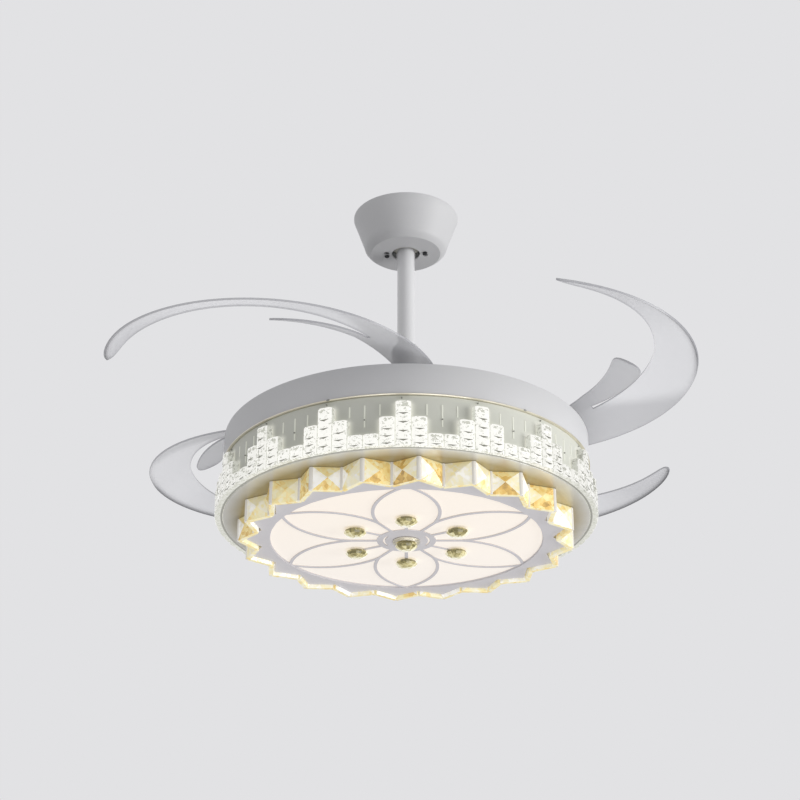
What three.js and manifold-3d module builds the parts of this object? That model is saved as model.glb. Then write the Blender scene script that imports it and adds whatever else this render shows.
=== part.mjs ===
// Ceiling fan with four retractable blades over a crystal lamp drum.
// Millimetres, +Z up. The origin is the centre of the face that lies on the ceiling.
// The blades stand open here, as they do while the fan turns. Each folds about its own pivot
// until its arc lies concentric with the motor, above the drum.
import * as THREE from 'three';
import { mergeVertices } from 'three/addons/utils/BufferGeometryUtils.js';
import Module from 'manifold-3d';

const wasm = await Module();
wasm.setup();

// ---- clearances ---------------------------------------------------------------------------
const seatGap = 0.3;        // between faces that rest on each other
const fitGap = 0.06;        // a piece pressed or slid on its seat, radially
const runningGap = 0.08;    // a shaft turning in its bore, radially

// ---- hanger and canopy --------------------------------------------------------------------
const canopyHeight = 58.6;
const canopyTopRadius = 76;
const canopyTierRadius = 61;      // foot of the tapered wall
const canopyTierHeight = 14;      // the rounded lower tier
const canopyTierEase = 3.4;       // how far that tier draws in at mid height
const canopyRimDepth = 3;
const canopyPlateRadius = 50;     // flat bottom plate
const canopyWall = 1.5;
const canopyHoleRadius = 20.4;
const canopyScrewCircle = 28;
const canopyScrewTurn = -10;      // degrees the two screws stand round from the X axis
const canopyScrewRadius = 2;
const canopyScrewHeadRadius = 3.6;
const canopyScrewHeadHeight = 2.2;
const keyholeSlot = 7;            // arc length of the narrow end of each keyhole
const keyholeGap = 0.5;           // round a screw's shank and head in the keyhole
const bracketLength = 136;
const bracketWidth = 44;
const bracketSheet = 2.5;
const bracketLegSpread = 47;      // from the axis to the outer face of each leg
const bracketSeatWidth = 62;      // the lower web round the ball
const bracketSlotSpacing = 115;   // between the centres of the ceiling screws' slots
const bracketSlotLength = 12;
const bracketSlotWidth = 5;
const bracketEntryWidth = 27.5;   // side opening of the web, for the rod
const wireHoleRadius = 8;
const wireHoleOut = 19;           // from the axis to the wire hole in the ceiling plate
const ballRadius = 27;
const ballCentreDrop = 31;        // ceiling to the ball's centre
const ballSeatRadius = 23.5;      // the hole in the web that the ball hangs in
const ballTopCut = 17;            // flat top, above the ball's centre
const terminalSize = [9, 26, 12];

// ---- downrod and coupling -----------------------------------------------------------------
const rodRadius = 12.5;
const rodWall = 1.6;
const rodTopDrop = 11;            // ceiling to the rod's upper end
const crossPinRadius = 3;
const crossPinLength = 46;
const couplingTopDrop = 212;      // ceiling to the top of the coupling cover
const couplingCoverRadius = 20.4;
const couplingCoverFlare = 42;
const couplingCoverWall = 1.4;
const couplingNeckHeight = 40;    // straight part of the coupling cover
const rodSocketDepth = 24;
const couplerRadius = 17.2;
const couplerBoltRadius = 3;

// ---- motor --------------------------------------------------------------------------------
const shaftRadius = 8.5;
const shaftBoreRadius = 5;
const motorRadius = 92;
const motorHeight = 72;
const motorSheet = 2.4;
const motorShoulder = 12;         // radius of the upper shell's shoulder
const motorCrown = 10;            // the bearing cup's rise above that shoulder
const motorFlange = 14;           // width of the flange that carries the blade carrier
const motorDropBelowRing = 13;    // underside of the motor, below the ring's top edge
const bearingRadius = 18;
const bearingWidth = 8;
const lowerCupRise = 2;           // how far the lower bearing's cup rises into the motor
const magnetThickness = 5;
const airGap = 0.9;
const statorHeight = 18;
const statorSlots = 9;
const windingHeight = 8;
const coverGap = 3;               // coupling cover to the turning motor
const couplerGap = 9;             // the rod's coupler to the turning motor

// ---- blade carrier and blades -------------------------------------------------------------
const bladeCount = 4;
const pivotCircle = 180;          // the blade pivots' circle round the axis
const carrierRadius = 206;
const carrierSheet = 3;
const carrierBelowRing = 2;       // carrier's upper face, below the ring's top edge
const bladeArcRadius = 220;       // outer edge; also its distance from the axis when folded
const arcCentreOut = 234.4;       // from the axis to an open blade's arc centre
const arcCentreTurn = -48;        // degrees, direction of that centre for the first blade
const bladeSpan = 168;            // degrees of arc from the pivot to the tip
const bladeThickness = 2.5;
const bladeRootRise = 5.5;        // outer edge at the pivot, above the ring's top edge
const bladeRise = 11;             // climb per radian of arc, so that folded blades nest
const bladePitch = 0.38;          // rise per millimetre from the outer edge inwards
const wingletPitch = 0.52;        // the same, at the winglet's free end
const wingletDrop = 17.5;         // the free end's sag below the crescent's inner edge
const bladeCamber = 2.6;          // how far the crescent bulges upwards between its edges
const crescentOffset = 36.7;      // inner arc's centre, from the outer arc's
const crescentWidestAt = 56.7;    // degrees from the pivot to where the crescent is widest
const crescentInset = 24;         // inner arc's radius, less than the outer arc's
const slotStart = 30;             // degrees from the pivot to the slot's closed end
const slotWidthAtTip = 9;
const slotWidthAtRoot = 5;
const wingletSpan = 81;           // degrees from the pivot to the winglet's end
const wingletDepth = 106;         // outer arc to the winglet's inner edge, at its end
const wingletSweep = 51;          // how far that edge draws outwards towards the pivot
const wingletEndTaper = 10;       // degrees over which the winglet's end rounds off
const tipTaper = 12;
const rootTaper = 9;
const rootDepth = 20;             // outer arc to the line about which the root end rounds off
const bossRadius = 29;
const bossBelowSheet = 1.7;       // top of the boss, below the blade's sheet over the pivot
const bossChamfer = 5;
const boreOvershoot = 2;          // how far a blade's bore is cut on past its ends
const pocketOvershoot = 12;       // the spring pocket's cut, on up through the sheet
const pivotRadius = 5;
const pivotHeadRadius = 12;
const pivotHeadHeight = 4;
const pivotFootRadius = 7;
const pivotFootHeight = 2.5;

// ---- blade timing gear --------------------------------------------------------------------
const gearModule = 3;
const sectorTeeth = 20;           // of the full circle that a blade's sector is part of
const gearThickness = 6;
const gearBacklash = 0.4;
const pressureAngle = 20;
const gearRise = 3;               // the timing gear's underside, above the carrier
const bearingBeadWidth = 9;       // the raised bead that the timing gear slides on
const windowInset = 14;           // the carrier's windows, out from that bead

// ---- blade return springs -----------------------------------------------------------------
const springWire = 1.6;
const springTurns = 3;
const springPitch = 2.2;
const springRadius = 9.6;
const springPocketRadius = 12.6;

// ---- drum ---------------------------------------------------------------------------------
const ceilingToRing = 362;        // ceiling to the top edge of the painted ring
const ringRadius = 250;
const ringHeight = 42;
const ringSheet = 1;
const ringShoulder = 2.3;
const ringLip = 18;               // width of the lip folded in at the top
const ringFoot = 22;              // width of the foot folded in at the bottom
const trimHeight = 1.8;
const trimProud = 1;              // how far the gold hoop stands out from the ring
const trimWidth = 5;
const wallHeight = 70.8;
const wallInset = 2.5;            // the crystals' backing, in from the ring's face
const wallThickness = 4;
const plateSheet = 1.5;
const plateInnerRadius = 170;
const panWall = 1.2;
const panInset = 5.5;             // the pan, in from the backing
const panFlange = 4;
const lampFlangeRadius = 48;
const lampFlangeHeight = 6;
const lampHubRadius = 14;
const nutAcross = 26;
const nutHeight = 7;
const driverSize = [150, 52, 28];
const receiverSize = [92, 40, 22];
const boxOffset = 118;            // from the axis to the middle of each box
const ledStripHeight = 12;
const ledSheet = 1.6;

// ---- crystal wall -------------------------------------------------------------------------
const skylinePeriods = 16;
const skylineColumns = 5;         // columns in one period of the skyline
const peakHeight = 60;
const shoulderHeight = 38.8;
const lowHeight = 16.5;
const skylineTurn = -0.8;         // degrees, direction of the foremost peak from -Y
const crystalDepth = 11.2;        // of a column, out from the backing
const crystalGroove = 5;          // depth of the groove between two columns
const crystalFace = 0.66;         // flat share of a column's face

// ---- lower disc ---------------------------------------------------------------------------
const discDrop = 26;              // bottom plate to the underside of the petal frame
const frameRadius = 198;
const frameSheet = 1.5;
const frameSkirt = 13;
const frameRim = 15;              // width of the petal frame's flat rim
const diffuserSheet = 2.5;
const diffuserInset = 4;          // diffuser's edge, in from the petal frame's
const trayWall = 1.4;
const trayHoleRadius = 20;        // for the wires, in the middle of the tray
const ledMargin = 12;             // LED board's edge to the tray
const petalCount = 6;
const petalTipInset = 14;         // petal tip, in from the petal frame's edge
const petalWidest = 105;          // where a petal is widest, from the axis
const petalHalfWidth = 43.5;
const petalJoin = 75;             // where neighbouring petals meet, from the axis
const ribWidth = 4.6;
const discHubRadius = 40;
const eyeRadius = 30;
const eyeWidth = 2.2;
const eyeHalfAngle = 34;
const studCircle = 78.5;
const studRadius = 15;
const studHeight = 9;
const centreRingRadius = 18.5;
const centreRingHeight = 4;

// ---- amber crystal ring -------------------------------------------------------------------
const amberCount = 40;
const amberGap = 5;               // petal frame's edge to the zigzag's inner corners
const amberDepth = 21;            // inner to outer corners
const amberHeight = 31.5;
const amberThickness = 6;
const amberBulge = 4.5;
const amberTurn = -86;            // degrees, direction of one outer corner

// ---- facets -------------------------------------------------------------------------------
const roundLarge = 32;
const roundMedium = 20;
const roundSmall = 12;
const roundTiny = 8;
const studFacets = 8;
const pivotFacets = 8;
const ribSteps = 3;
const slotEndSteps = 4;
const eyeSteps = 3;

// ---- levels that follow from the sizes above ----------------------------------------------
const trimRadius = ringRadius + trimProud;
const wallRadius = ringRadius - wallInset;
const panRadius = wallRadius - wallThickness - panInset;
const crystalRadius = wallRadius + seatGap + crystalDepth;
const diffuserWindow = frameRadius - frameRim;
const diffuserRadius = frameRadius - diffuserInset;
const petalTip = frameRadius - petalTipInset;
const amberInner = frameRadius + amberGap;
const amberOuter = amberInner + amberDepth;
const crescentRadius = bladeArcRadius - crescentInset;
const wingletRadius = bladeArcRadius - wingletDepth;
const rootFloor = bladeArcRadius - rootDepth;
const ringTop = -ceilingToRing;
const ringBottom = ringTop - ringHeight;
const trimTop = ringBottom - seatGap;
const trimBottom = trimTop - trimHeight;
const wallTop = trimBottom - seatGap;
const wallBottom = wallTop - wallHeight;
const plateTop = wallBottom - seatGap;
const plateBottom = plateTop - plateSheet;
const discBottom = plateBottom - discDrop;
const motorBottom = ringTop - motorDropBelowRing;
const motorTop = motorBottom + motorHeight;
const motorJoint = motorBottom + motorHeight / 2;
const carrierTop = ringTop - carrierBelowRing;
const carrierBottom = carrierTop - carrierSheet;
const gearBottom = carrierTop + gearRise;
const gearTop = gearBottom + gearThickness;
const sheetOverPivot = bladeRootRise + bladePitch * (bladeArcRadius - pivotCircle);
const bossTop = ringTop + sheetOverPivot - bossBelowSheet;
const hubBottom = carrierTop + seatGap;
const panTop = ringBottom - seatGap;
const lampFlangeBottom = panTop + seatGap;
const lampFlangeTop = lampFlangeBottom + lampFlangeHeight;
const couplerBottom = motorTop + couplerGap;
const rodBottom = -couplingTopDrop - couplingNeckHeight * 0.75;
const couplerTop = rodBottom + rodSocketDepth;
const ballCentre = -ballCentreDrop;
const bracketWebTop = ballCentre - Math.sqrt(ballRadius ** 2 - ballSeatRadius ** 2) - seatGap;
const canopyBottom = -canopyHeight;

const rad = THREE.MathUtils.degToRad;

// ---- solid helpers ------------------------------------------------------------------------
function positionsOnly(geometry) {
  const bare = geometry.clone();
  bare.deleteAttribute('normal');
  bare.deleteAttribute('uv');
  const merged = mergeVertices(bare, 1e-4);
  const corners = merged.index.array;
  const kept = [];
  for (let i = 0; i < corners.length; i += 3) {
    const [a, b, c] = corners.slice(i, i + 3);
    if (a !== b && b !== c && c !== a) kept.push(a, b, c);
  }
  merged.setIndex(kept);
  return merged;
}

function toSolid(geometry) {
  const merged = positionsOnly(geometry);
  const mesh = new wasm.Mesh({
    numProp: 3,
    vertProperties: new Float32Array(merged.attributes.position.array),
    triVerts: new Uint32Array(merged.index.array),
  });
  return new wasm.Manifold(mesh);
}

function fromSolid(solid) {
  const mesh = solid.getMesh();
  const geometry = new THREE.BufferGeometry();
  geometry.setAttribute('position', new THREE.BufferAttribute(mesh.vertProperties.slice(), 3));
  geometry.setIndex([...mesh.triVerts]);
  return geometry;
}

const union = (first, ...rest) =>
  fromSolid(rest.reduce((solid, next) => solid.add(toSolid(next)), toSolid(first)));
const cut = (body, ...tools) =>
  fromSolid(tools.reduce((solid, tool) => solid.subtract(toSolid(tool)), toSolid(body)));

// A profile of [radius, height] points, counter-clockwise, turned about Z.
function turned(profile, facets = roundMedium) {
  const points = profile.map(([r, z]) => new THREE.Vector2(r, z));
  if (profile[0][0] > 0 || profile.at(-1)[0] > 0) points.push(points[0].clone());
  return new THREE.LatheGeometry(points, facets).rotateX(Math.PI / 2);
}

const ringBetween = (inner, outer, low, high, facets = roundMedium) =>
  turned([[inner, low], [outer, low], [outer, high], [inner, high]], facets);

// Upright cylinder with one corner on +X, like every turned piece.
const post = (radius, low, high, facets = roundSmall) =>
  turned([[0, low], [radius, low], [radius, high], [0, high]], facets);

// A bore that clears a shaft of this radius all round its facets.
const boreFor = (radius, gap, facets = roundSmall) => (radius + gap) / Math.cos(Math.PI / facets);

const polar = (radius, degrees) =>
  new THREE.Vector2(radius * Math.cos(rad(degrees)), radius * Math.sin(rad(degrees)));

// A flat outline, with any holes, raised from one level to another.
function plate(outline, low, high, holes = []) {
  const shape = new THREE.Shape(outline);
  shape.holes = holes.map((hole) => new THREE.Path(hole));
  return new THREE.ExtrudeGeometry(shape, { depth: high - low, bevelEnabled: false }).translate(0, 0, low);
}

const box = (x, y, z, low) => new THREE.BoxGeometry(x, y, z).translate(0, 0, low + z / 2);

// Points on the circle through three points, from the first to the last.
function arcThrough(a, b, c, steps) {
  const d = 2 * (a.x * (b.y - c.y) + b.x * (c.y - a.y) + c.x * (a.y - b.y));
  const [aa, bb, cc] = [a.lengthSq(), b.lengthSq(), c.lengthSq()];
  const centre = new THREE.Vector2(
    (aa * (b.y - c.y) + bb * (c.y - a.y) + cc * (a.y - b.y)) / d,
    (aa * (c.x - b.x) + bb * (a.x - c.x) + cc * (b.x - a.x)) / d,
  );
  const radius = a.distanceTo(centre);
  const start = a.clone().sub(centre).angle();
  const middle = b.clone().sub(centre).angle();
  const turn = Math.PI * 2;
  const forward = (from, to) => (((to - from) % turn) + turn) % turn;
  let sweep = forward(start, c.clone().sub(centre).angle());
  if (forward(start, middle) > sweep) sweep -= turn;
  const point = (i) => start + (sweep * i) / steps;
  return Array.from({ length: steps + 1 }, (_, i) =>
    new THREE.Vector2(centre.x + radius * Math.cos(point(i)), centre.y + radius * Math.sin(point(i))));
}

// A strip of even width that follows a line of points.
function strip(line, width, low, high) {
  const sides = line.map((point, i) => {
    const ahead = line[Math.min(i + 1, line.length - 1)];
    const behind = line[Math.max(i - 1, 0)];
    const along = ahead.clone().sub(behind).normalize();
    const across = new THREE.Vector2(-along.y, along.x).multiplyScalar(width / 2);
    return [point.clone().add(across), point.clone().sub(across)];
  });
  return plate([...sides.map((side) => side[1]), ...sides.map((side) => side[0]).reverse()], low, high);
}

// A thin sheet over a grid of points: rows follow each other clockwise seen from above, and each
// runs outwards. Cells that are not filled stay open.
function gridSheet(points, filled, thickness) {
  const rows = points.length;
  const columns = points[0].length;
  const vertices = [];
  for (const side of [thickness / 2, -thickness / 2]) {
    for (const row of points) {
      for (const p of row) vertices.push(p.x, p.y, p.z + side);
    }
  }
  const top = (i, j) => i * columns + j;
  const bottom = (i, j) => rows * columns + top(i, j);
  const has = (i, j) => i >= 0 && j >= 0 && i < rows - 1 && j < columns - 1 && filled(i, j);
  const faces = [];
  const quad = (a, b, c, d) => faces.push(a, c, b, a, d, c);
  for (let i = 0; i < rows - 1; i++) {
    for (let j = 0; j < columns - 1; j++) {
      if (!has(i, j)) continue;
      quad(top(i, j), top(i, j + 1), top(i + 1, j + 1), top(i + 1, j));
      quad(bottom(i, j), bottom(i + 1, j), bottom(i + 1, j + 1), bottom(i, j + 1));
      if (!has(i, j - 1)) quad(top(i, j), top(i + 1, j), bottom(i + 1, j), bottom(i, j));
      if (!has(i, j + 1)) quad(top(i + 1, j + 1), top(i, j + 1), bottom(i, j + 1), bottom(i + 1, j + 1));
      if (!has(i - 1, j)) quad(top(i, j + 1), top(i, j), bottom(i, j), bottom(i, j + 1));
      if (!has(i + 1, j)) quad(top(i + 1, j), top(i + 1, j + 1), bottom(i + 1, j + 1), bottom(i + 1, j));
    }
  }
  const geometry = new THREE.BufferGeometry();
  geometry.setAttribute('position', new THREE.Float32BufferAttribute(vertices, 3));
  geometry.setIndex(faces);
  return geometry;
}

// ---- materials ----------------------------------------------------------------------------
const paint = (color, roughness, metalness) =>
  new THREE.MeshStandardMaterial({ color, roughness, metalness });
const whitePaint = paint(0xd9d9da, 0.45, 0.1);
const steel = paint(0x9a9a9c, 0.35, 0.9);
const zinc = paint(0xb8b8b4, 0.45, 0.8);
const iron = paint(0x55565a, 0.6, 0.7);
const copper = paint(0xb06a35, 0.4, 0.8);
const ferrite = paint(0x333336, 0.8, 0.2);
const smokyAcrylic = paint(0xc4c4c8, 0.12, 0);
const nylon = paint(0xe8e6dd, 0.5, 0);
const gold = paint(0xd8b878, 0.25, 0.9);
const crystal = paint(0xe8efe2, 0.08, 0);
const frosted = paint(0xc9ccc2, 0.3, 0);
const silverPlate = paint(0xbcbbb9, 0.3, 0.7);
const amber = paint(0xe0b45c, 0.1, 0);
const greyFrame = paint(0xb8b6bc, 0.4, 0.4);
const opal = paint(0xfbf3ea, 0.6, 0);
const champagne = paint(0xb9b48a, 0.1, 0);
const board = paint(0xf2f2ee, 0.5, 0);
const plastic = paint(0xe4e4e2, 0.5, 0);

const fan = new THREE.Group();

function add(parent, name, geometry, material) {
  const mesh = new THREE.Mesh(geometry, material);
  mesh.name = name;
  parent.add(mesh);
  return mesh;
}

// ---- ceiling bracket ----------------------------------------------------------------------
// A welded steel frame: a plate with slotted wings on the ceiling, two legs, and a web with the
// ball's seat, open to one side so that the rod slides in.
function ceilingBracket() {
  const webBottom = bracketWebTop - bracketSheet;
  const half = bracketLength / 2;
  const spread = bracketLegSpread;
  const inside = spread - bracketSheet;
  const vector = ([x, z]) => new THREE.Vector2(x, z);
  const outline = [
    [-half, 0], [-half, -bracketSheet], [-spread, -bracketSheet], [-spread, webBottom], [spread, webBottom],
    [spread, -bracketSheet], [half, -bracketSheet], [half, 0],
  ].map(vector);
  const hollow = [
    [-inside, -bracketSheet], [inside, -bracketSheet], [inside, bracketWebTop], [-inside, bracketWebTop],
  ].map(vector);
  const width = bracketSeatWidth;
  const frame = plate(outline, -width / 2, width / 2, [hollow]).rotateX(Math.PI / 2);
  const wingTrim = [-1, 1].flatMap((end) => [-1, 1].map((edge) =>
    box(half, width, bracketSheet * 4, -bracketSheet * 2)
      .translate(end * (spread + half / 2), edge * (bracketWidth + width) / 2, 0)));
  const seat = post(ballSeatRadius, webBottom - 1, bracketWebTop + 1, roundMedium);
  const entry = box(bracketEntryWidth, width, bracketSheet + 2, webBottom - 1).translate(0, width / 2, 0);
  const wireHole = post(wireHoleRadius, -bracketSheet - 1, 1, roundTiny).translate(0, wireHoleOut, 0);
  const slotRound = bracketSlotWidth / 2;
  const slotStraight = bracketSlotLength / 2 - slotRound;
  const slotEnd = (side) => Array.from({ length: slotEndSteps + 1 }, (_, i) =>
    polar(slotRound, (180 * i) / slotEndSteps - 90 * side).add(new THREE.Vector2(side * slotStraight, 0)));
  const slots = [-1, 1].map((end) =>
    plate([...slotEnd(1), ...slotEnd(-1)], -bracketSheet - 1, 1)
      .translate((end * bracketSlotSpacing) / 2, 0, 0));
  const screwHoles = canopyScrewPlaces().map(([x, y]) =>
    post(canopyScrewRadius + fitGap * 2, webBottom - 1, bracketWebTop + 1, roundTiny).translate(x, y, 0));
  return cut(frame, seat, entry, wireHole, ...wingTrim, ...slots, ...screwHoles);
}

function canopyScrewPlaces() {
  return [0, 180].map((turn) => {
    const place = polar(canopyScrewCircle, canopyScrewTurn + turn);
    return [place.x, place.y];
  });
}

// ---- canopy -------------------------------------------------------------------------------
// A pressed cup: tapered wall, rounded lower tier and a flat plate with the rod's hole and keyholes.
function canopy() {
  const tierTop = canopyBottom + canopyTierHeight;
  const outside = [
    [canopyPlateRadius, canopyBottom],
    [canopyTierRadius - canopyTierEase, canopyBottom + canopyTierHeight / 2], [canopyTierRadius, tierTop],
    [canopyTopRadius, -canopyRimDepth], [canopyTopRadius, -seatGap],
  ];
  const inside = [
    [canopyTopRadius - canopyWall, -seatGap], [canopyTopRadius - canopyWall, -canopyRimDepth],
    [canopyTierRadius - canopyWall, tierTop], [canopyPlateRadius - canopyWall, canopyBottom + canopyWall],
  ];
  const shell = turned([[canopyHoleRadius, canopyBottom], ...outside, ...inside,
    [canopyHoleRadius, canopyBottom + canopyWall]], roundMedium);
  const keyholes = canopyScrewPlaces().flatMap(([x, y], i) => {
    const turn = canopyScrewTurn + 180 * i;
    const through = (radius) => post(radius, canopyBottom - 1, canopyBottom + canopyWall + 1, roundTiny);
    const wide = polar(canopyScrewCircle, turn + THREE.MathUtils.radToDeg(keyholeSlot / canopyScrewCircle));
    return [through(canopyScrewRadius + keyholeGap).translate(x, y, 0),
      through(canopyScrewHeadRadius + keyholeGap).translate(wide.x, wide.y, 0)];
  });
  return cut(shell, ...keyholes);
}

function canopyScrew() {
  const head = canopyBottom - seatGap;
  const end = bracketWebTop + bracketSheet;
  return turned([
    [0, head - canopyScrewHeadHeight], [canopyScrewHeadRadius * 0.6, head - canopyScrewHeadHeight],
    [canopyScrewHeadRadius, head - canopyScrewHeadHeight * 0.4], [canopyScrewHeadRadius, head],
    [canopyScrewRadius, head], [canopyScrewRadius, end], [0, end],
  ], roundTiny);
}

// ---- hanger ball, pin and downrod ---------------------------------------------------------
function hangerBall() {
  const lower = Math.asin(-Math.sqrt(1 - (rodRadius + 1) ** 2 / ballRadius ** 2));
  const upper = Math.asin(ballTopCut / ballRadius);
  const steps = 5;
  const bore = boreFor(rodRadius, fitGap);
  const profile = Array.from({ length: steps + 1 }, (_, i) => {
    const angle = lower + ((upper - lower) * i) / steps;
    return [ballRadius * Math.cos(angle), ballCentre + ballRadius * Math.sin(angle)];
  });
  const low = profile[0][1];
  const ball = turned([[bore, low], ...profile, [bore, ballCentre + ballTopCut]], roundSmall);
  return cut(ball, crossBore(crossPinRadius, ballCentre, ballRadius * 2.2));
}

// A pin along Y, and a bore along Y that clears a pin of this radius.
const crossPin = (radius, level, length) =>
  post(radius, -length / 2, length / 2, roundTiny).rotateX(Math.PI / 2).translate(0, 0, level);

const crossBore = (radius, level, length) => crossPin(boreFor(radius, fitGap, roundTiny), level, length);

function downrod() {
  const tube = ringBetween(rodRadius - rodWall, rodRadius, rodBottom, -rodTopDrop, roundSmall);
  const across = rodRadius * 4;
  const pinBore = crossBore(crossPinRadius, ballCentre, across);
  return cut(tube, pinBore, crossBore(couplerBoltRadius, boltLevel, across));
}

const boltLevel = (rodBottom + couplerTop) / 2;

// The yoke: a socket for the rod above and a bore for the motor's shaft below.
function rodCoupler() {
  const floor = rodBottom - seatGap;
  const socket = boreFor(rodRadius, fitGap);
  const bore = boreFor(shaftRadius, fitGap);
  const body = turned([
    [bore, couplerBottom], [couplerRadius, couplerBottom], [couplerRadius, couplerTop], [socket, couplerTop],
    [socket, floor], [bore, floor],
  ], roundSmall);
  return cut(body, crossBore(couplerBoltRadius, boltLevel, couplerRadius * 4));
}

// A bell round the coupling: domed top, straight neck and a flared skirt over the motor.
function couplingCover() {
  const top = -couplingTopDrop;
  const bottom = motorTop + coverGap;
  const neck = top - couplingNeckHeight;
  const hole = rodRadius + seatGap;
  const r = couplingCoverRadius;
  const flare = couplingCoverFlare;
  const outside = [
    [flare, bottom], [flare - 2, bottom + 8], [(flare + r) / 2, (bottom + neck) / 2 + 4],
    [r, neck], [r, top - 5], [r - 4, top],
  ];
  const inside = outside.map(([radius, z], i) =>
    [radius - couplingCoverWall, i === outside.length - 1 ? top - couplingCoverWall : z]).reverse();
  return turned([...outside, [hole, top], [hole, top - couplingCoverWall], ...inside], roundSmall);
}

// ---- motor --------------------------------------------------------------------------------
const shaftBottom = panTop - seatGap * 2 - panWall - nutHeight - 3;
const motorShaft = () =>
  ringBetween(shaftBoreRadius, shaftRadius, shaftBottom, rodBottom - seatGap * 2, roundSmall);

// One of the two pressed shells, with its bearing cup; the lower one has the carrier's flange.
const cupRadius = boreFor(bearingRadius, fitGap, roundMedium);

function rotorUpperShell() {
  const cup = cupRadius;
  const hole = shaftRadius + 2;
  const end = motorTop - motorCrown;
  const wall = end - motorShoulder;
  const outside = [
    [motorRadius, motorJoint + seatGap], [motorRadius, wall],
    [motorRadius - motorShoulder * 0.3, end - motorShoulder * 0.3], [motorRadius - motorShoulder, end],
    [cup + motorSheet + motorCrown / 2, end + motorCrown / 3], [cup + motorSheet, motorTop], [hole, motorTop],
  ];
  const cupTop = motorTop - motorSheet;
  const inside = [
    [hole, cupTop], [cup, cupTop], [cup, cupTop - bearingWidth - 1],
    [motorRadius - motorShoulder - 1, end - motorSheet], [motorRadius - motorSheet, wall],
    [motorRadius - motorSheet, motorJoint + seatGap],
  ];
  return turned([...outside, ...inside], roundMedium);
}

const carrierBore = motorRadius + seatGap;
const lowerFlangeTop = carrierBottom - seatGap;

function rotorLowerShell() {
  const cup = cupRadius;
  const hole = shaftRadius + 2;
  const flange = motorRadius + motorFlange;
  const floor = motorBottom;
  const cupFoot = floor - bearingWidth + lowerCupRise;
  const outside = [
    [hole, cupFoot], [cup + motorSheet, cupFoot], [cup + motorSheet + 4, floor],
    [motorRadius, floor], [motorRadius, lowerFlangeTop - motorSheet], [flange, lowerFlangeTop - motorSheet],
    [flange, lowerFlangeTop], [motorRadius, lowerFlangeTop], [motorRadius, motorJoint - seatGap],
  ];
  const inside = [
    [motorRadius - motorSheet, motorJoint - seatGap], [motorRadius - motorSheet, floor + motorSheet],
    [cup, floor + motorSheet], [cup, cupFoot + motorSheet], [hole, cupFoot + motorSheet],
  ];
  return turned([...outside, ...inside], roundMedium);
}

const bearing = (low) =>
  ringBetween(boreFor(shaftRadius, runningGap), bearingRadius, low, low + bearingWidth, roundSmall);

const magnetOuter = (motorRadius - motorSheet - seatGap) * Math.cos(Math.PI / roundMedium);
const magnetInner = magnetOuter - magnetThickness;
const statorRadius = magnetInner * Math.cos(Math.PI / roundMedium) - airGap;
const statorLow = motorJoint - statorHeight / 2;

const magnetRing = () =>
  ringBetween(magnetInner, magnetOuter, statorLow - 2, statorLow + statorHeight + 2, roundMedium);

// A laminated core: a hub and a tooth with a curved shoe for every slot.
function statorCore() {
  const shoe = 5;
  const neck = statorRadius - shoe;
  const base = statorRadius * 0.45;
  const step = 360 / statorSlots;
  const outline = [];
  for (let i = 0; i < statorSlots; i++) {
    const at = i * step;
    outline.push(polar(base, at - step * 0.25), polar(neck, at - step * 0.13), polar(neck, at - step * 0.42));
    outline.push(polar(statorRadius, at - step * 0.42), polar(statorRadius, at + step * 0.42));
    outline.push(polar(neck, at + step * 0.42), polar(neck, at + step * 0.13), polar(base, at + step * 0.25));
  }
  const bore = Array.from({ length: roundSmall }, (_, i) =>
    polar(boreFor(shaftRadius, fitGap), (-360 * i) / roundSmall));
  return plate(outline, statorLow, statorLow + statorHeight, [bore]);
}

// The coils' end turns, one lobe over each tooth, on the core's upper (+1) or lower (-1) face.
function endWinding(side) {
  const inner = statorRadius * 0.48;
  const outer = statorRadius - 6;
  const lobeDepth = 0.2;
  const core = side > 0 ? statorLow + statorHeight : statorLow;
  const face = core + side * seatGap;
  const [low, high] = side > 0 ? [face, face + windingHeight] : [face - windingHeight, face];
  const ring = ringBetween(inner, outer, low, high, statorSlots * 2);
  const place = ring.attributes.position;
  for (let i = 0; i < place.count; i++) {
    const angle = Math.atan2(place.getY(i), place.getX(i));
    const swell = 1 - lobeDepth + lobeDepth * Math.cos(angle * statorSlots);
    place.setZ(i, face + (place.getZ(i) - face) * swell);
  }
  return ring;
}

// ---- blade carrier ------------------------------------------------------------------------
const pivotAngle = () => rad(arcCentreTurn) + Math.acos(arcCentreOut / 2 / pivotCircle);
const foldAngle = () => 2 * Math.asin(arcCentreOut / 2 / pivotCircle);
const pivotPlace = polar(pivotCircle, THREE.MathUtils.radToDeg(pivotAngle()));

// A pressed disc round the motor with the pivots' holes, four windows and the timing gear's bead.
function bladeCarrier() {
  const bead = [carrierBore, carrierBore + bearingBeadWidth];
  const disc = turned([
    [bead[0], carrierBottom], [carrierRadius, carrierBottom], [carrierRadius, carrierTop],
    [bead[1], carrierTop], [bead[1], gearBottom - seatGap], [bead[0], gearBottom - seatGap],
  ], roundMedium);
  const holes = stations().map((turn) =>
    post(boreFor(pivotRadius, fitGap, pivotFacets), carrierBottom - 1, carrierTop + 1, pivotFacets)
      .translate(pivotPlace.x, pivotPlace.y, 0).rotateZ(rad(turn)));
  const windowStep = 360 / bladeCount;
  const windows = stations().map((turn) => {
    const middle = THREE.MathUtils.radToDeg(pivotAngle()) + windowStep / 2 + turn;
    const reach = windowStep * 0.3;
    const steps = 3;
    const arc = (radius, from, to) => Array.from({ length: steps + 1 }, (_, i) =>
      polar(radius, from + ((to - from) * i) / steps));
    const outline = [...arc(pivotCircle + 8, middle - reach, middle + reach),
      ...arc(bead[1] + windowInset, middle + reach * 0.9, middle - reach * 0.9)];
    return plate(outline, carrierBottom - 1, carrierTop + 1);
  });
  return cut(disc, ...holes, ...windows);
}

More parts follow.
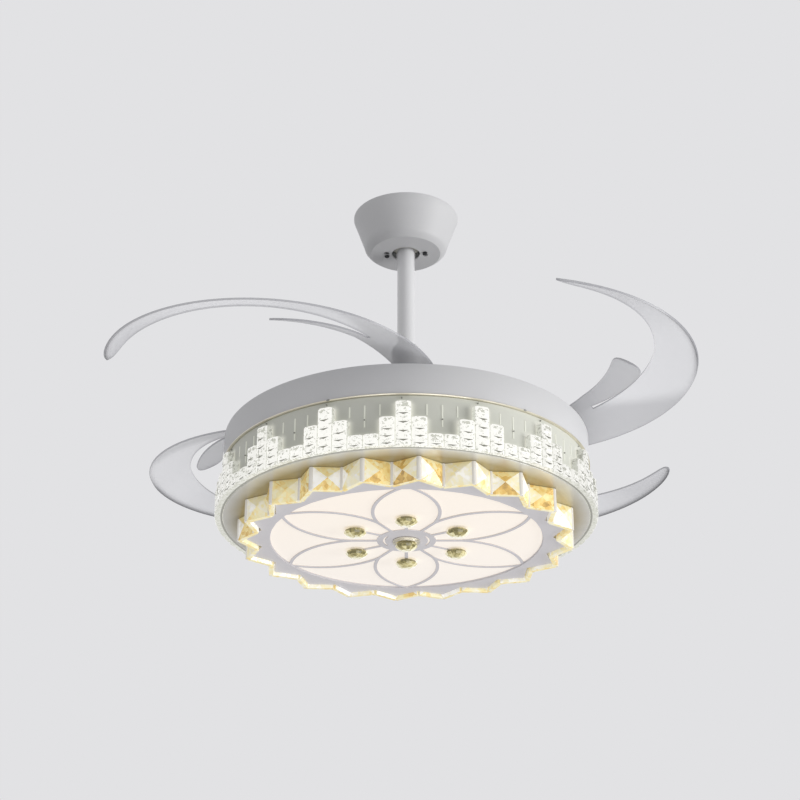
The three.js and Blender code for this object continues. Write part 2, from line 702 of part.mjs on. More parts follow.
const stations = () => Array.from({ length: bladeCount }, (_, i) => (360 / bladeCount) * i);

// A shoulder rivet: foot under the carrier, shank through the blade's boss, broad head on top.
function pivotRivet() {
  const head = bossTop + seatGap;
  const foot = carrierBottom - seatGap;
  return turned([
    [0, foot - pivotFootHeight], [pivotFootRadius, foot - pivotFootHeight], [pivotFootRadius, foot],
    [pivotRadius, foot], [pivotRadius, head], [pivotHeadRadius, head],
    [pivotHeadRadius * 0.8, head + pivotHeadHeight], [0, head + pivotHeadHeight],
  ], pivotFacets).translate(pivotPlace.x, pivotPlace.y, 0);
}

// ---- gear teeth ---------------------------------------------------------------------------
const ringTeeth = Math.round((2 * pivotCircle) / gearModule) - sectorTeeth;
const gearRatio = sectorTeeth / ringTeeth;
const sectorPitchRadius = (gearModule * sectorTeeth) / 2;
const ringPitchRadius = pivotCircle - sectorPitchRadius;

// Involute teeth as a polar outline from one tooth number to another; angles in radians.
function toothOutline(teeth, first, last, phase) {
  const pitch = (gearModule * teeth) / 2;
  const base = pitch * Math.cos(rad(pressureAngle));
  const tip = pitch + gearModule * 0.95;
  const root = pitch - gearModule * 1.25;
  const spread = (r) => (r <= base ? 0 : Math.sqrt((r / base) ** 2 - 1) - Math.acos(base / r));
  const halfAtPitch = Math.PI / teeth / 2 - gearBacklash / 4 / pitch;
  const half = (r) => halfAtPitch + spread(pitch) - spread(r);
  const radii = [root, tip];
  const at = (r, angle) => new THREE.Vector2(r * Math.cos(angle), r * Math.sin(angle));
  const points = [];
  for (let i = first; i <= last; i++) {
    const middle = phase + (2 * Math.PI * i) / teeth;
    points.push(...radii.map((r) => at(r, middle - half(r))));
    points.push(...radii.map((r) => at(r, middle + half(r))).reverse());
  }
  return points;
}

// The ring that keeps the blades in step, toothed only where a blade's sector rolls on it.
function timingGear() {
  const root = ringPitchRadius - gearModule * 1.25;
  const toothStep = (2 * Math.PI) / ringTeeth;
  const travel = Math.ceil(foldAngle() * gearRatio / toothStep);
  const outline = stations().flatMap((turn) => {
    const contact = pivotAngle() + rad(turn);
    const teeth = toothOutline(ringTeeth, -travel - 1, 1, contact + toothStep / 2);
    const gapSteps = 3;
    const from = contact + toothStep * 2.5;
    const to = contact + (2 * Math.PI) / bladeCount - toothStep * (travel + 1.5);
    const rest = Array.from({ length: gapSteps }, (_, i) => {
      const angle = from + ((to - from) * i) / (gapSteps - 1);
      return new THREE.Vector2(root * Math.cos(angle), root * Math.sin(angle));
    });
    return [...teeth, ...rest];
  });
  const bore = boreFor(motorRadius, 0.3, roundMedium);
  const hole = Array.from({ length: roundMedium }, (_, i) => polar(bore, (-360 * i) / roundMedium));
  return plate(outline, gearBottom, gearTop, [hole]);
}

// ---- blades -------------------------------------------------------------------------------
const arcCentre = polar(arcCentreOut, arcCentreTurn);
const pivotFromArc = () => pivotPlace.clone().sub(arcCentre).angle();
const crescentCentre = () => {
  const direction = pivotFromArc() - rad(crescentWidestAt);
  return new THREE.Vector2(Math.cos(direction), Math.sin(direction)).multiplyScalar(-crescentOffset);
};

// Distance of the crescent's inner arc from the outer arc's centre, at an angle from the pivot.
function crescentEdge(alpha) {
  const direction = pivotFromArc() - rad(alpha);
  const centre = crescentCentre();
  const along = centre.x * Math.cos(direction) + centre.y * Math.sin(direction);
  return along + Math.sqrt(along ** 2 - crescentOffset ** 2 + crescentRadius ** 2);
}

const wingletEdge = (alpha) => {
  const left = 1 - Math.min(Math.max(alpha, 0), wingletSpan) / wingletSpan;
  return wingletRadius + wingletSweep * left ** 1.7;
};

// Rounds an end off: 1 inside, falling to nearly 0 over the last stretch.
const roundOff = (alpha, end, taper) => {
  const into = Math.min(Math.max((alpha - (end - taper)) / taper, 0), 0.999);
  return (1 - into ** 2.6) ** (1 / 2.6);
};

// Share of the way from the slot's closed end to the winglet's free end.
const slotShare = (alpha) => Math.min(Math.max((alpha - slotStart) / (wingletSpan - slotStart), 0), 1);

// The blade's height over its plan: it climbs along its arc and from the outer edge inwards, with
// a camber across the crescent. The winglet sags and grows steeper towards its free end.
function bladeHeight(alpha, radius) {
  const climb = bladeRise * rad(Math.max(alpha, 0));
  const inner = crescentEdge(alpha);
  const across = Math.min((bladeArcRadius - radius) / (bladeArcRadius - inner), 1);
  const camber = bladeCamber * 4 * across * (1 - across);
  const beyond = Math.max(inner - radius, 0);
  const sag = beyond > 0 ? wingletDrop * slotShare(alpha) : 0;
  const twist = (wingletPitch - bladePitch) * slotShare(alpha) * beyond;
  return ringTop + bladeRootRise + climb + camber + bladePitch * (bladeArcRadius - radius) + twist - sag;
}

// Radii of the five lines that run along the blade, at one angle from the pivot.
function bladeSection(alpha) {
  const slot = slotWidthAtRoot + (slotWidthAtTip - slotWidthAtRoot) * slotShare(alpha);
  const mainInner = crescentEdge(alpha);
  const wingletInner = wingletEdge(alpha);
  const wingletOuter = mainInner - slot;
  const tip = roundOff(alpha, bladeSpan, tipTaper);
  const end = roundOff(alpha, wingletSpan, wingletEndTaper);
  const root = roundOff(-alpha, rootTaper, rootTaper);
  const winglet = [0, 1].map((share) => {
    const middle = wingletInner + (wingletOuter - wingletInner) * 0.45;
    const radius = wingletInner + (wingletOuter - wingletInner) * share;
    return middle + (radius - middle) * end;
  });
  const main = [0, 0.5, 1].map((share) => {
    const middle = mainInner + (bladeArcRadius - mainInner) * 0.7;
    const radius = mainInner + (bladeArcRadius - mainInner) * share;
    return middle + (radius - middle) * tip;
  });
  return [...winglet, ...main].map((radius) => rootFloor + (radius - rootFloor) * root);
}

function bladeAngles() {
  const spread = (from, to, steps) =>
    Array.from({ length: steps }, (_, i) => from + ((to - from) * i) / steps);
  const wingletRound = wingletSpan - wingletEndTaper;
  const tipRound = bladeSpan - tipTaper;
  const step = (tipRound - wingletSpan) / 6;
  return [
    -rootTaper, -rootTaper * 0.8, ...spread(0, slotStart, 3), ...spread(slotStart, wingletRound, 4),
    wingletRound, wingletSpan - wingletEndTaper * 0.25, wingletSpan,
    ...spread(wingletSpan + step, tipRound, 5), tipRound, bladeSpan - tipTaper * 0.6,
    bladeSpan - tipTaper * 0.2, bladeSpan,
  ];
}

function bladeSheet() {
  const angles = bladeAngles();
  const points = angles.map((alpha) => {
    const direction = pivotFromArc() - rad(alpha);
    return bladeSection(alpha).map((radius) => new THREE.Vector3(
      arcCentre.x + radius * Math.cos(direction), arcCentre.y + radius * Math.sin(direction),
      bladeHeight(alpha, radius)));
  });
  const slotColumn = 1;
  const filled = (i, j) => {
    if (j === slotColumn) return angles[i + 1] <= slotStart;
    return j > slotColumn || angles[i + 1] <= wingletSpan;
  };
  return gridSheet(points, filled, bladeThickness);
}

// The root: a bored boss with the spring's pocket over a toothed sector.
function bladeRoot() {
  const toothStep = (2 * Math.PI) / sectorTeeth;
  const travel = Math.ceil(foldAngle() / toothStep);
  const towardsAxis = pivotAngle() + Math.PI;
  const teeth = toothOutline(sectorTeeth, -1, travel + 1, towardsAxis);
  const root = sectorPitchRadius - gearModule * 1.25;
  const backFrom = towardsAxis + toothStep * (travel + 1.5);
  const backTo = towardsAxis + 2 * Math.PI - toothStep * 1.5;
  const backSteps = 6;
  const back = Array.from({ length: backSteps }, (_, i) => {
    const angle = backFrom + ((backTo - backFrom) * i) / (backSteps - 1);
    return new THREE.Vector2(root * Math.cos(angle), root * Math.sin(angle));
  });
  const sector = plate([...teeth, ...back], hubBottom, gearTop - seatGap);
  const boss = turned([
    [0, gearTop - 1], [bossRadius - bossChamfer, gearTop - 1], [bossRadius, gearTop - 1 + bossChamfer / 2],
    [bossRadius, bossTop], [0, bossTop],
  ], roundSmall);
  return [sector, boss].map((piece) => piece.translate(pivotPlace.x, pivotPlace.y, 0));
}

function blade() {
  const [sector, boss] = bladeRoot();
  const [boreLow, boreHigh] = [hubBottom - boreOvershoot, bossTop + boreOvershoot];
  const bore = post(boreFor(pivotRadius, runningGap, pivotFacets), boreLow, boreHigh, pivotFacets)
    .translate(pivotPlace.x, pivotPlace.y, 0);
  const pocketFloor = bossTop - springTurns * springPitch - springWire * 1.6;
  const pocket = post(springPocketRadius, pocketFloor, bossTop + pocketOvershoot, roundSmall)
    .translate(pivotPlace.x, pivotPlace.y, 0);
  return cut(union(bladeSheet(), sector, boss), bore, pocket);
}

// A torsion spring round the pivot, in the boss's pocket: one unbroken helix.
function returnSpring() {
  const steps = 6 * springTurns;
  const low = bossTop - springTurns * springPitch - springWire * 0.7;
  class Helix extends THREE.Curve {
    getPoint(t, target = new THREE.Vector3()) {
      const angle = t * springTurns * 2 * Math.PI;
      return target.set(springRadius * Math.cos(angle), springRadius * Math.sin(angle),
        low + springPitch * springTurns * t);
    }
  }
  const wire = Array.from({ length: 4 }, (_, i) => polar(springWire / 2, 90 * i));
  const sweep = { steps, extrudePath: new Helix(), bevelEnabled: false };
  return new THREE.ExtrudeGeometry(new THREE.Shape(wire), sweep).translate(pivotPlace.x, pivotPlace.y, 0);
}

// ---- drum: pan, painted ring, trim and crystal wall ---------------------------------------
function drumRing() {
  const inside = ringRadius - ringSheet;
  const foot = ringRadius - ringFoot;
  return turned([
    [foot, ringBottom], [ringRadius, ringBottom], [ringRadius, ringTop - ringShoulder],
    [ringRadius - ringShoulder, ringTop], [ringRadius - ringLip, ringTop],
    [ringRadius - ringLip, ringTop - ringSheet], [inside, ringTop - ringSheet],
    [inside, ringBottom + ringSheet], [foot, ringBottom + ringSheet],
  ], roundLarge);
}

const goldTrim = () => ringBetween(trimRadius - trimWidth, trimRadius, trimBottom, trimTop, roundLarge);
const crystalBacking = () =>
  ringBetween(wallRadius - wallThickness, wallRadius, wallBottom, wallTop, roundLarge);

// A deep spun pan: its top hangs on the motor's shaft and its rolled foot carries the bottom plate.
function lampPan() {
  const foot = plateTop + seatGap;
  const top = panTop;
  const inner = boreFor(shaftRadius, fitGap);
  const wall = panRadius;
  const flange = wall + panFlange;
  return turned([
    [wall - panWall, foot], [flange, foot], [flange, foot + panWall], [wall, foot + panWall],
    [wall, top], [inner, top], [inner, top - panWall], [wall - panWall, top - panWall],
  ], roundMedium);
}

// The cast hub that joins the pan to the shaft.
function lampFlange() {
  const bore = boreFor(shaftRadius, fitGap);
  const hubTop = motorBottom - bearingWidth - 1;
  return turned([
    [bore, lampFlangeBottom], [lampFlangeRadius, lampFlangeBottom],
    [lampFlangeRadius, lampFlangeBottom + lampFlangeHeight / 2], [lampHubRadius + 3, lampFlangeTop],
    [lampHubRadius, lampFlangeTop + 3], [lampHubRadius, hubTop], [bore, hubTop],
  ], roundSmall);
}

function shaftNut() {
  const hex = Array.from({ length: 6 }, (_, i) => polar(nutAcross / 2 / Math.cos(Math.PI / 6), 60 * i));
  const high = panTop - panWall - seatGap;
  const hole = Array.from({ length: roundSmall }, (_, i) =>
    polar(boreFor(shaftRadius, fitGap), (-360 * i) / roundSmall));
  return plate(hex, high - nutHeight, high, [hole]);
}

// A closed case, flat where it lies on the pan and with its two lower edges bevelled.
function controlBox([x, y, z], high) {
  const edge = 3;
  const outline = [
    [-y / 2, high], [-y / 2, high - z + edge], [edge - y / 2, high - z], [y / 2 - edge, high - z],
    [y / 2, high - z + edge], [y / 2, high],
  ].map(([a, b]) => new THREE.Vector2(a, b));
  return plate(outline, -x / 2, x / 2).rotateY(Math.PI / 2).rotateX(Math.PI / 2);
}

const bottomPlate = () =>
  ringBetween(plateInnerRadius, wallRadius, plateBottom, plateTop, roundLarge);

// ---- crystal skyline ----------------------------------------------------------------------
const skylineBottom = plateBottom + 0.6;
const columnStep = 360 / (skylinePeriods * skylineColumns);

// Adds a flat polygon, counter-clockwise from outside, as a fan of triangles.
function addFacet(list, corners) {
  for (let i = 1; i < corners.length - 1; i++) list.push(...corners[0], ...corners[i], ...corners[i + 1]);
}

// One crenellated ring: each column has a flat face between two grooves and its own height.
function skyline() {
  const columns = skylinePeriods * skylineColumns;
  const pattern = [peakHeight, shoulderHeight, lowHeight, lowHeight, shoulderHeight];
  const back = wallRadius + seatGap;
  const level = (i) => skylineBottom + pattern[(i + columns) % columns % skylineColumns];
  const at = (radius, turn, z) => [...polar(radius, turn * columnStep + skylineTurn - 90).toArray(), z];
  const faces = [];
  for (let i = 0; i < columns; i++) {
    const [low, high, left, right] = [skylineBottom, level(i), level(i - 1), level(i + 1)];
    const edge = (side) => (side < 0 ? i : (i + 1) % columns) - 0.5;
    const inner = (side, z) => at(back, edge(side), z);
    const groove = (side, z) => at(crystalRadius - crystalGroove, edge(side), z);
    const flat = (side, z) => at(crystalRadius, i + (side * crystalFace) / 2, z);
    const stepLeft = left < high ? [groove(-1, left)] : [];
    const stepRight = right < high ? [groove(1, right)] : [];
    const innerLeft = left < high ? [inner(-1, left)] : [];
    const innerRight = right < high ? [inner(1, right)] : [];
    addFacet(faces, [flat(-1, low), flat(-1, high), groove(-1, high), ...stepLeft, groove(-1, low)]);
    addFacet(faces, [flat(-1, low), flat(1, low), flat(1, high), flat(-1, high)]);
    addFacet(faces, [flat(1, high), flat(1, low), groove(1, low), ...stepRight, groove(1, high)]);
    const backLeft = [inner(-1, low), ...innerLeft, inner(-1, high)];
    addFacet(faces, [inner(1, low), ...backLeft, inner(1, high), ...innerRight]);
    const section = (z) => [inner(-1, z), groove(-1, z), flat(-1, z), flat(1, z), groove(1, z), inner(1, z)];
    addFacet(faces, section(high));
    addFacet(faces, section(low).reverse());
    if (left < high) addFacet(faces, [inner(-1, left), groove(-1, left), groove(-1, high), inner(-1, high)]);
    if (right < high) addFacet(faces, [groove(1, right), inner(1, right), inner(1, high), groove(1, high)]);
  }
  const geometry = new THREE.BufferGeometry();
  geometry.setAttribute('position', new THREE.Float32BufferAttribute(faces, 3));
  return positionsOnly(geometry);
}

// ---- lower disc ---------------------------------------------------------------------------
const frameTop = discBottom + frameSheet;
const diffuserBottom = frameTop + seatGap;
const trayBottom = diffuserBottom + diffuserSheet + seatGap;
const trayTop = plateBottom - seatGap;

function lampTray() {
  const inside = diffuserRadius - trayWall;
  return turned([
    [inside, trayBottom], [diffuserRadius, trayBottom], [diffuserRadius, trayTop], [trayHoleRadius, trayTop],
    [trayHoleRadius, trayTop - trayWall], [inside, trayTop - trayWall],
  ], roundMedium);
}

function ledBoard() {
  const high = trayTop - trayWall - seatGap;
  const [inner, outer] = [trayHoleRadius + ledMargin, diffuserRadius - ledMargin];
  return ringBetween(inner, outer, high - ledSheet, high, roundMedium);
}

const wallLedStrip = () => {
  const low = plateTop + seatGap * 2 + panWall + 2;
  const inner = panRadius + seatGap;
  return ringBetween(inner, inner + ledSheet, low, low + ledStripHeight, roundMedium);
};

const diffuser = () => post(diffuserRadius, diffuserBottom, diffuserBottom + diffuserSheet, roundLarge);

// The fretwork: rim with a skirt, six leaf-shaped petals, spokes to the studs and a hub with two slots.
function petalFrame() {
  const low = discBottom;
  const high = frameTop;
  const rim = turned([
    [diffuserWindow, low], [frameRadius, low], [frameRadius, high + frameSkirt],
    [frameRadius - frameSheet, high + frameSkirt], [frameRadius - frameSheet, high], [diffuserWindow, high],
  ], roundLarge);
  const hub = post(discHubRadius, low, high, roundMedium);
  const ribs = [];
  for (let i = 0; i < petalCount; i++) {
    const turn = (360 / petalCount) * i - 90;
    const half = 180 / petalCount;
    const axis = new THREE.Vector2(Math.cos(rad(turn)), Math.sin(rad(turn)));
    const across = new THREE.Vector2(-axis.y, axis.x);
    const place = (u, v) => axis.clone().multiplyScalar(u).addScaledVector(across, v);
    for (const side of [-1, 1]) {
      const join = polar(petalJoin, turn + side * half);
      const tip = place(petalTip + ribWidth, -side * ribWidth * 0.4);
      const arc = arcThrough(tip, place(petalWidest, side * petalHalfWidth), join, ribSteps);
      ribs.push(strip(arc, ribWidth, low, high));
    }
    const spoke = (out, direction) => [polar(out, direction), polar(discHubRadius - ribWidth, direction)];
    ribs.push(strip(spoke(petalJoin + ribWidth / 2, turn + half), ribWidth, low, high));
    ribs.push(strip(spoke(studCircle, turn), ribWidth, low, high));
  }
  const eyes = [0, 180].map((turn) => {
    const arc = arcThrough(polar(eyeRadius, turn - eyeHalfAngle), polar(eyeRadius + 2, turn),
      polar(eyeRadius, turn + eyeHalfAngle), eyeSteps);
    return strip(arc, eyeWidth, low - 1, high + 1);
  });
  return cut(union(rim, hub, ...ribs), ...eyes);
}

// A round faceted crystal: a girdle, a bevelled crown and a flat table.
function stud(base, height, radius) {
  return turned([
    [0, base - height], [radius * 0.45, base - height], [radius, base - height * 0.35],
    [radius * 0.94, base], [0, base],
  ], studFacets);
}

const centreRing = () => {
  const base = discBottom - seatGap;
  const r = centreRingRadius;
  return turned([
    [0, base - centreRingHeight], [r - 2.5, base - centreRingHeight], [r - 2.5, base - centreRingHeight / 2],
    [r, base - centreRingHeight / 2], [r, base], [0, base],
  ], roundSmall);
};

// ---- amber crystals -----------------------------------------------------------------------
// A zigzag of square crystals joined corner to corner, each face rising to a point like a pyramid.
function amberRing() {
  const high = plateBottom - seatGap;
  const low = high - amberHeight;
  const step = 360 / amberCount;
  const corner = (i, offset) => {
    const outer = i % 2 === 0;
    const base = outer ? amberOuter : amberInner;
    return polar(base + offset, amberTurn + step * i);
  };
  const vertices = [];
  const faces = [];
  const push = (p, z) => vertices.push(p.x, p.y, z) / 3 - 1;
  const slope = amberThickness * 0.62;
  const corners = Array.from({ length: amberCount }, (_, i) => {
    const outside = corner(i, slope);
    const inside = corner(i, -slope);
    return [push(outside, low), push(outside, high), push(inside, high), push(inside, low)];
  });
  const middle = (low + high) / 2;
  for (let i = 0; i < amberCount; i++) {
    const [a, b, c, d] = corners[i];
    const [e, f, g, h] = corners[(i + 1) % amberCount];
    const from = corner(i, 0);
    const to = corner(i + 1, 0);
    const centre = from.clone().add(to).multiplyScalar(0.5);
    const along = to.clone().sub(from).normalize();
    const out = new THREE.Vector2(along.y, -along.x).multiplyScalar(amberThickness / 2 + amberBulge);
    const front = push(centre.clone().add(out), middle);
    const back = push(centre.clone().sub(out), middle);
    faces.push(a, e, front, e, f, front, f, b, front, b, a, front);
    faces.push(h, d, back, d, c, back, c, g, back, g, h, back);
    faces.push(b, f, g, b, g, c, e, a, d, e, d, h);
  }
  const geometry = new THREE.BufferGeometry();
  geometry.setAttribute('position', new THREE.Float32BufferAttribute(vertices, 3));
  geometry.setIndex(faces);
  return geometry;
}

// ---- assembly -----------------------------------------------------------------------------
const ceilingGroup = new THREE.Group();
fan.add(ceilingGroup);
add(ceilingGroup, 'ceiling_bracket', ceilingBracket(), zinc);
add(ceilingGroup, 'canopy', canopy(), whitePaint);
canopyScrewPlaces().forEach(([x, y], i) => {
  add(ceilingGroup, `canopy_screw_${i + 1}`, canopyScrew(), steel).position.set(x, y, 0);
});
add(ceilingGroup, 'terminal_block', box(...terminalSize, bracketWebTop + terminalSize[2]), nylon)
  .position.set(bracketLegSpread - bracketSheet - seatGap - terminalSize[0] / 2, 0, 0);

const hanging = new THREE.Group();
fan.add(hanging);
add(hanging, 'hanger_ball', hangerBall(), nylon);
add(hanging, 'ball_cross_pin', crossPin(crossPinRadius, ballCentre, crossPinLength), steel);
add(hanging, 'downrod', downrod(), whitePaint);
add(hanging, 'coupling_cover', couplingCover(), whitePaint);
add(hanging, 'rod_coupler', rodCoupler(), zinc);
add(hanging, 'coupler_bolt', crossPin(couplerBoltRadius, boltLevel, couplerRadius * 2 + 2), steel);
add(hanging, 'motor_shaft', motorShaft(), steel);
add(hanging, 'stator_core', statorCore(), iron);
add(hanging, 'upper_winding', endWinding(1), copper);
add(hanging, 'lower_winding', endWinding(-1), copper);
add(hanging, 'lamp_flange', lampFlange(), zinc);
add(hanging, 'lamp_pan', lampPan(), zinc);
add(hanging, 'shaft_nut', shaftNut(), steel);
const boxHigh = panTop - panWall - seatGap;
add(hanging, 'led_driver', controlBox(driverSize, boxHigh), plastic).position.set(0, boxOffset, 0);
add(hanging, 'remote_receiver', controlBox(receiverSize, boxHigh), plastic).position.set(0, -boxOffset, 0);
add(hanging, 'drum_ring', drumRing(), whitePaint);
add(hanging, 'gold_trim', goldTrim(), gold);
add(hanging, 'crystal_backing', crystalBacking(), frosted);
add(hanging, 'skyline_crystals', skyline(), crystal);
add(hanging, 'wall_led_strip', wallLedStrip(), board);
add(hanging, 'bottom_plate', bottomPlate(), silverPlate);
add(hanging, 'amber_crystals', amberRing(), amber);
add(hanging, 'lamp_tray', lampTray(), zinc);
add(hanging, 'led_board', ledBoard(), board);
add(hanging, 'diffuser', diffuser(), opal);
add(hanging, 'petal_frame', petalFrame(), greyFrame);
for (let i = 0; i < petalCount; i++) {
  const place = polar(studCircle, (360 / petalCount) * i - 90);
  add(hanging, `crystal_stud_${i + 1}`, stud(discBottom - seatGap, studHeight, studRadius), champagne)
    .position.set(place.x, place.y, 0);
}
add(hanging, 'centre_ring', centreRing(), gold);
const centreBase = discBottom - 2 * seatGap - centreRingHeight;
add(hanging, 'centre_crystal', stud(centreBase, studHeight, studRadius), champagne);

const rotor = new THREE.Group();
hanging.add(rotor);
add(rotor, 'rotor_upper_shell', rotorUpperShell(), whitePaint);
add(rotor, 'rotor_lower_shell', rotorLowerShell(), whitePaint);
add(rotor, 'magnet_ring', magnetRing(), ferrite);
add(rotor, 'upper_bearing', bearing(motorTop - motorSheet - seatGap - bearingWidth), steel);
const lowerBearingLow = motorBottom + motorSheet + seatGap + lowerCupRise - bearingWidth;
add(rotor, 'lower_bearing', bearing(lowerBearingLow), steel);
add(rotor, 'blade_carrier', bladeCarrier(), zinc);
add(rotor, 'timing_gear', timingGear(), nylon);
stations().forEach((turn, i) => {
  const station = new THREE.Group();
  station.rotation.z = rad(turn);
  rotor.add(station);
  add(station, `pivot_rivet_${i + 1}`, pivotRivet(), steel);
  add(station, `blade_${i + 1}`, blade(), smokyAcrylic);
  add(station, `return_spring_${i + 1}`, returnSpring(), steel);
});

export default fan;
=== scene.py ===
from functools import partialmethod
from math import acos, atan2, cos, degrees, hypot, pi, radians, sin, sqrt, tau

import bmesh
import bpy
from mathutils import Matrix, Vector


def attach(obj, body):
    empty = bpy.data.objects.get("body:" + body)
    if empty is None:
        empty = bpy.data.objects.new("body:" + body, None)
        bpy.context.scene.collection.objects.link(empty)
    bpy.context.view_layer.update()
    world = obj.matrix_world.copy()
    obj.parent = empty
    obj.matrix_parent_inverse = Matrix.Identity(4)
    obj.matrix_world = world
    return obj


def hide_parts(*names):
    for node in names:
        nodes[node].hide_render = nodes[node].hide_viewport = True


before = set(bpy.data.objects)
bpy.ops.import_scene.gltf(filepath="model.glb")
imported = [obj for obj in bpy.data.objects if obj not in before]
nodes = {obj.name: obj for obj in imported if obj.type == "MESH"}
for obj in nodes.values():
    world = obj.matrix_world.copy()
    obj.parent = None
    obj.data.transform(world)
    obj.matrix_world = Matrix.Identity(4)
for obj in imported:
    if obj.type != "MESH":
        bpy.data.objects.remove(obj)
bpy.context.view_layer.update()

# ---- Room ----------------------------------------------------------------------------------
# A pale, evenly lit studio: a broad lamp on the right, a soft one low in front, a light floor
# far below, and a pale grey backdrop that only the camera and gloss see.
MM = 0.001
weld_distance = 0.002


def srgb(red, green, blue):
    """A colour written as it shows on screen, 0 to 255, as linear values."""
    return tuple(((c / 255 + 0.055) / 1.055) ** 2.4 for c in (red, green, blue)) + (1.0,)


class Signal:
    """One output of a node, so that shading is written as plain arithmetic."""

    def __init__(self, finish, socket):
        self.finish = finish
        self.socket = socket

    def maths(self, operation, *others):
        values = dict(enumerate([self, *others]))
        return self.finish.node("ShaderNodeMath", {"operation": operation}, values)

    __add__ = partialmethod(maths, "ADD")
    __sub__ = partialmethod(maths, "SUBTRACT")
    __rsub__ = partialmethod(maths, "MULTIPLY_ADD", -1.0)
    __mul__ = partialmethod(maths, "MULTIPLY")
    __truediv__ = partialmethod(maths, "DIVIDE")
    __pow__ = partialmethod(maths, "POWER")
    __lt__ = partialmethod(maths, "LESS_THAN")
    __gt__ = partialmethod(maths, "GREATER_THAN")
    __abs__ = partialmethod(maths, "ABSOLUTE")

    def part(self):
        """What is left of the value above the whole number below it."""
        return self.maths("FRACT")

    def limited(self):
        """The value, held between 0 and 1."""
        return self.maths("MAXIMUM", 0.0).maths("MINIMUM", 1.0)


class Finish:
    """A surface: a Principled shader, and the nodes that vary it."""

    def __init__(self, name, colour, roughness, metallic=0.0, **fixed):
        self.material = bpy.data.materials.new(name)
        self.material.use_nodes = True
        self.tree = self.material.node_tree
        self.shader = self.tree.nodes["Principled BSDF"]
        self.colour = colour
        self.set("Base Color", colour)
        self.set("Roughness", roughness)
        self.set("Metallic", metallic)
        for key, value in fixed.items():
            self.set(key.replace("_", " "), value)

    def set(self, name, value):
        """A fixed value goes straight on the socket; a signal is linked to it."""
        socket = self.shader.inputs[name]
        if isinstance(value, Signal):
            self.tree.links.new(value.socket, socket)
        else:
            socket.default_value = value

    def node(self, kind, settings=None, inputs=None, output=0):
        made = self.tree.nodes.new(kind)
        for key, value in (settings or {}).items():
            setattr(made, key, value)
        for key, value in (inputs or {}).items():
            if isinstance(value, Signal):
                self.tree.links.new(value.socket, made.inputs[key])
            else:
                made.inputs[key].default_value = value
        return Signal(self, made.outputs[output])

    def place(self):
        return self.node("ShaderNodeTexCoord", output="Object")

    def axes(self):
        """X, Y and Z of the place, in metres."""
        return [self.node("ShaderNodeSeparateXYZ", {}, {0: self.place()}, i) for i in range(3)]

    def radius(self):
        """How far the place is from the fan's axis."""
        x, y, z = self.axes()
        return (x * x + y * y) ** 0.5

    def noise(self, scale, detail=2.0, stretch=(1, 1, 1)):
        place = self.node("ShaderNodeVectorMath", {"operation": "MULTIPLY"}, {0: self.place(), 1: stretch})
        inputs = {"Vector": place, "Scale": scale, "Detail": detail}
        return self.node("ShaderNodeTexNoise", {}, inputs)

    def cells(self, scale):
        """Random grey value of each cell of a crazed pattern, as in cut glass."""
        inputs = {"Vector": self.place(), "Scale": scale}
        colour = self.node("ShaderNodeTexVoronoi", {}, inputs, output="Color")
        return self.node("ShaderNodeSeparateXYZ", {}, {0: colour})

    def attribute(self, name):
        return self.node("ShaderNodeAttribute", {"attribute_name": name}, output="Fac")

    def mix(self, share, first, second):
        colour, other = 6, 7
        inputs = {0: share, colour: first, other: second}
        return self.node("ShaderNodeMix", {"data_type": "RGBA"}, inputs, output=2)

    def shades(self, value, colours):
        """A colour that runs through the list as the value runs from 0 to 1."""
        mixed = colours[0]
        spans = len(colours) - 1
        for i, colour in enumerate(colours[1:]):
            mixed = self.mix((value * spans - i).limited(), mixed, colour)
        return mixed

    def speckle(self, amount, scale, stretch=(1, 1, 1)):
        """Slightly uneven colour and a matching grain in the roughness."""
        unevenness = 0.12
        grain = self.noise(scale, 3.0, stretch)
        darker = tuple(c * (1 - amount) for c in self.colour[:3]) + (1.0,)
        self.set("Base Color", self.mix(grain, self.colour, darker))
        rough = self.shader.inputs["Roughness"].default_value
        self.set("Roughness", grain * unevenness + (rough - unevenness / 2))
        return self

    def relief(self, height, distance, strength=0.3):
        inputs = {"Height": height, "Distance": distance, "Strength": strength}
        self.set("Normal", self.node("ShaderNodeBump", {}, inputs))


def dress(finish, *names):
    """Gives CAD pieces that stay as they are their surface."""
    for name in names:
        nodes[name].data.materials.clear()
        nodes[name].data.materials.append(finish.material)


def as_mesh(name, bm):
    """Turns what was built into mesh data."""
    mesh = bpy.data.meshes.new(name)
    bm.to_mesh(mesh)
    bm.free()
    return mesh


def in_scene(name, data):
    """Adds an object to the scene."""
    made = bpy.data.objects.new(name, data)
    scene.collection.objects.link(made)
    return made


def piece(name, bm, body, finishes, replaced=(), bevel=0.4, crease=32):
    """Turns a mesh built in millimetres into a piece that rides on its body."""
    bmesh.ops.remove_doubles(bm, verts=bm.verts[:], dist=weld_distance)
    bmesh.ops.recalc_face_normals(bm, faces=bm.faces[:])
    bmesh.ops.scale(bm, vec=(MM, MM, MM), verts=bm.verts[:])
    mesh = as_mesh(name, bm)
    made = in_scene(name, mesh)
    for finish in finishes:
        mesh.materials.append(finish.material)
    mesh.shade_smooth()
    mesh.set_sharp_from_angle(angle=radians(crease))
    if bevel:
        edge = made.modifiers.new("edges", "BEVEL")
        edge.width = bevel * MM
        edge.segments = 2
        edge.limit_method = "ANGLE"
        edge.angle_limit = radians(crease)
        edge.harden_normals = True
    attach(made, body)
    if replaced:
        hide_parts(*replaced)
    return made


scene = bpy.context.scene
scene.view_settings.view_transform = "Standard"

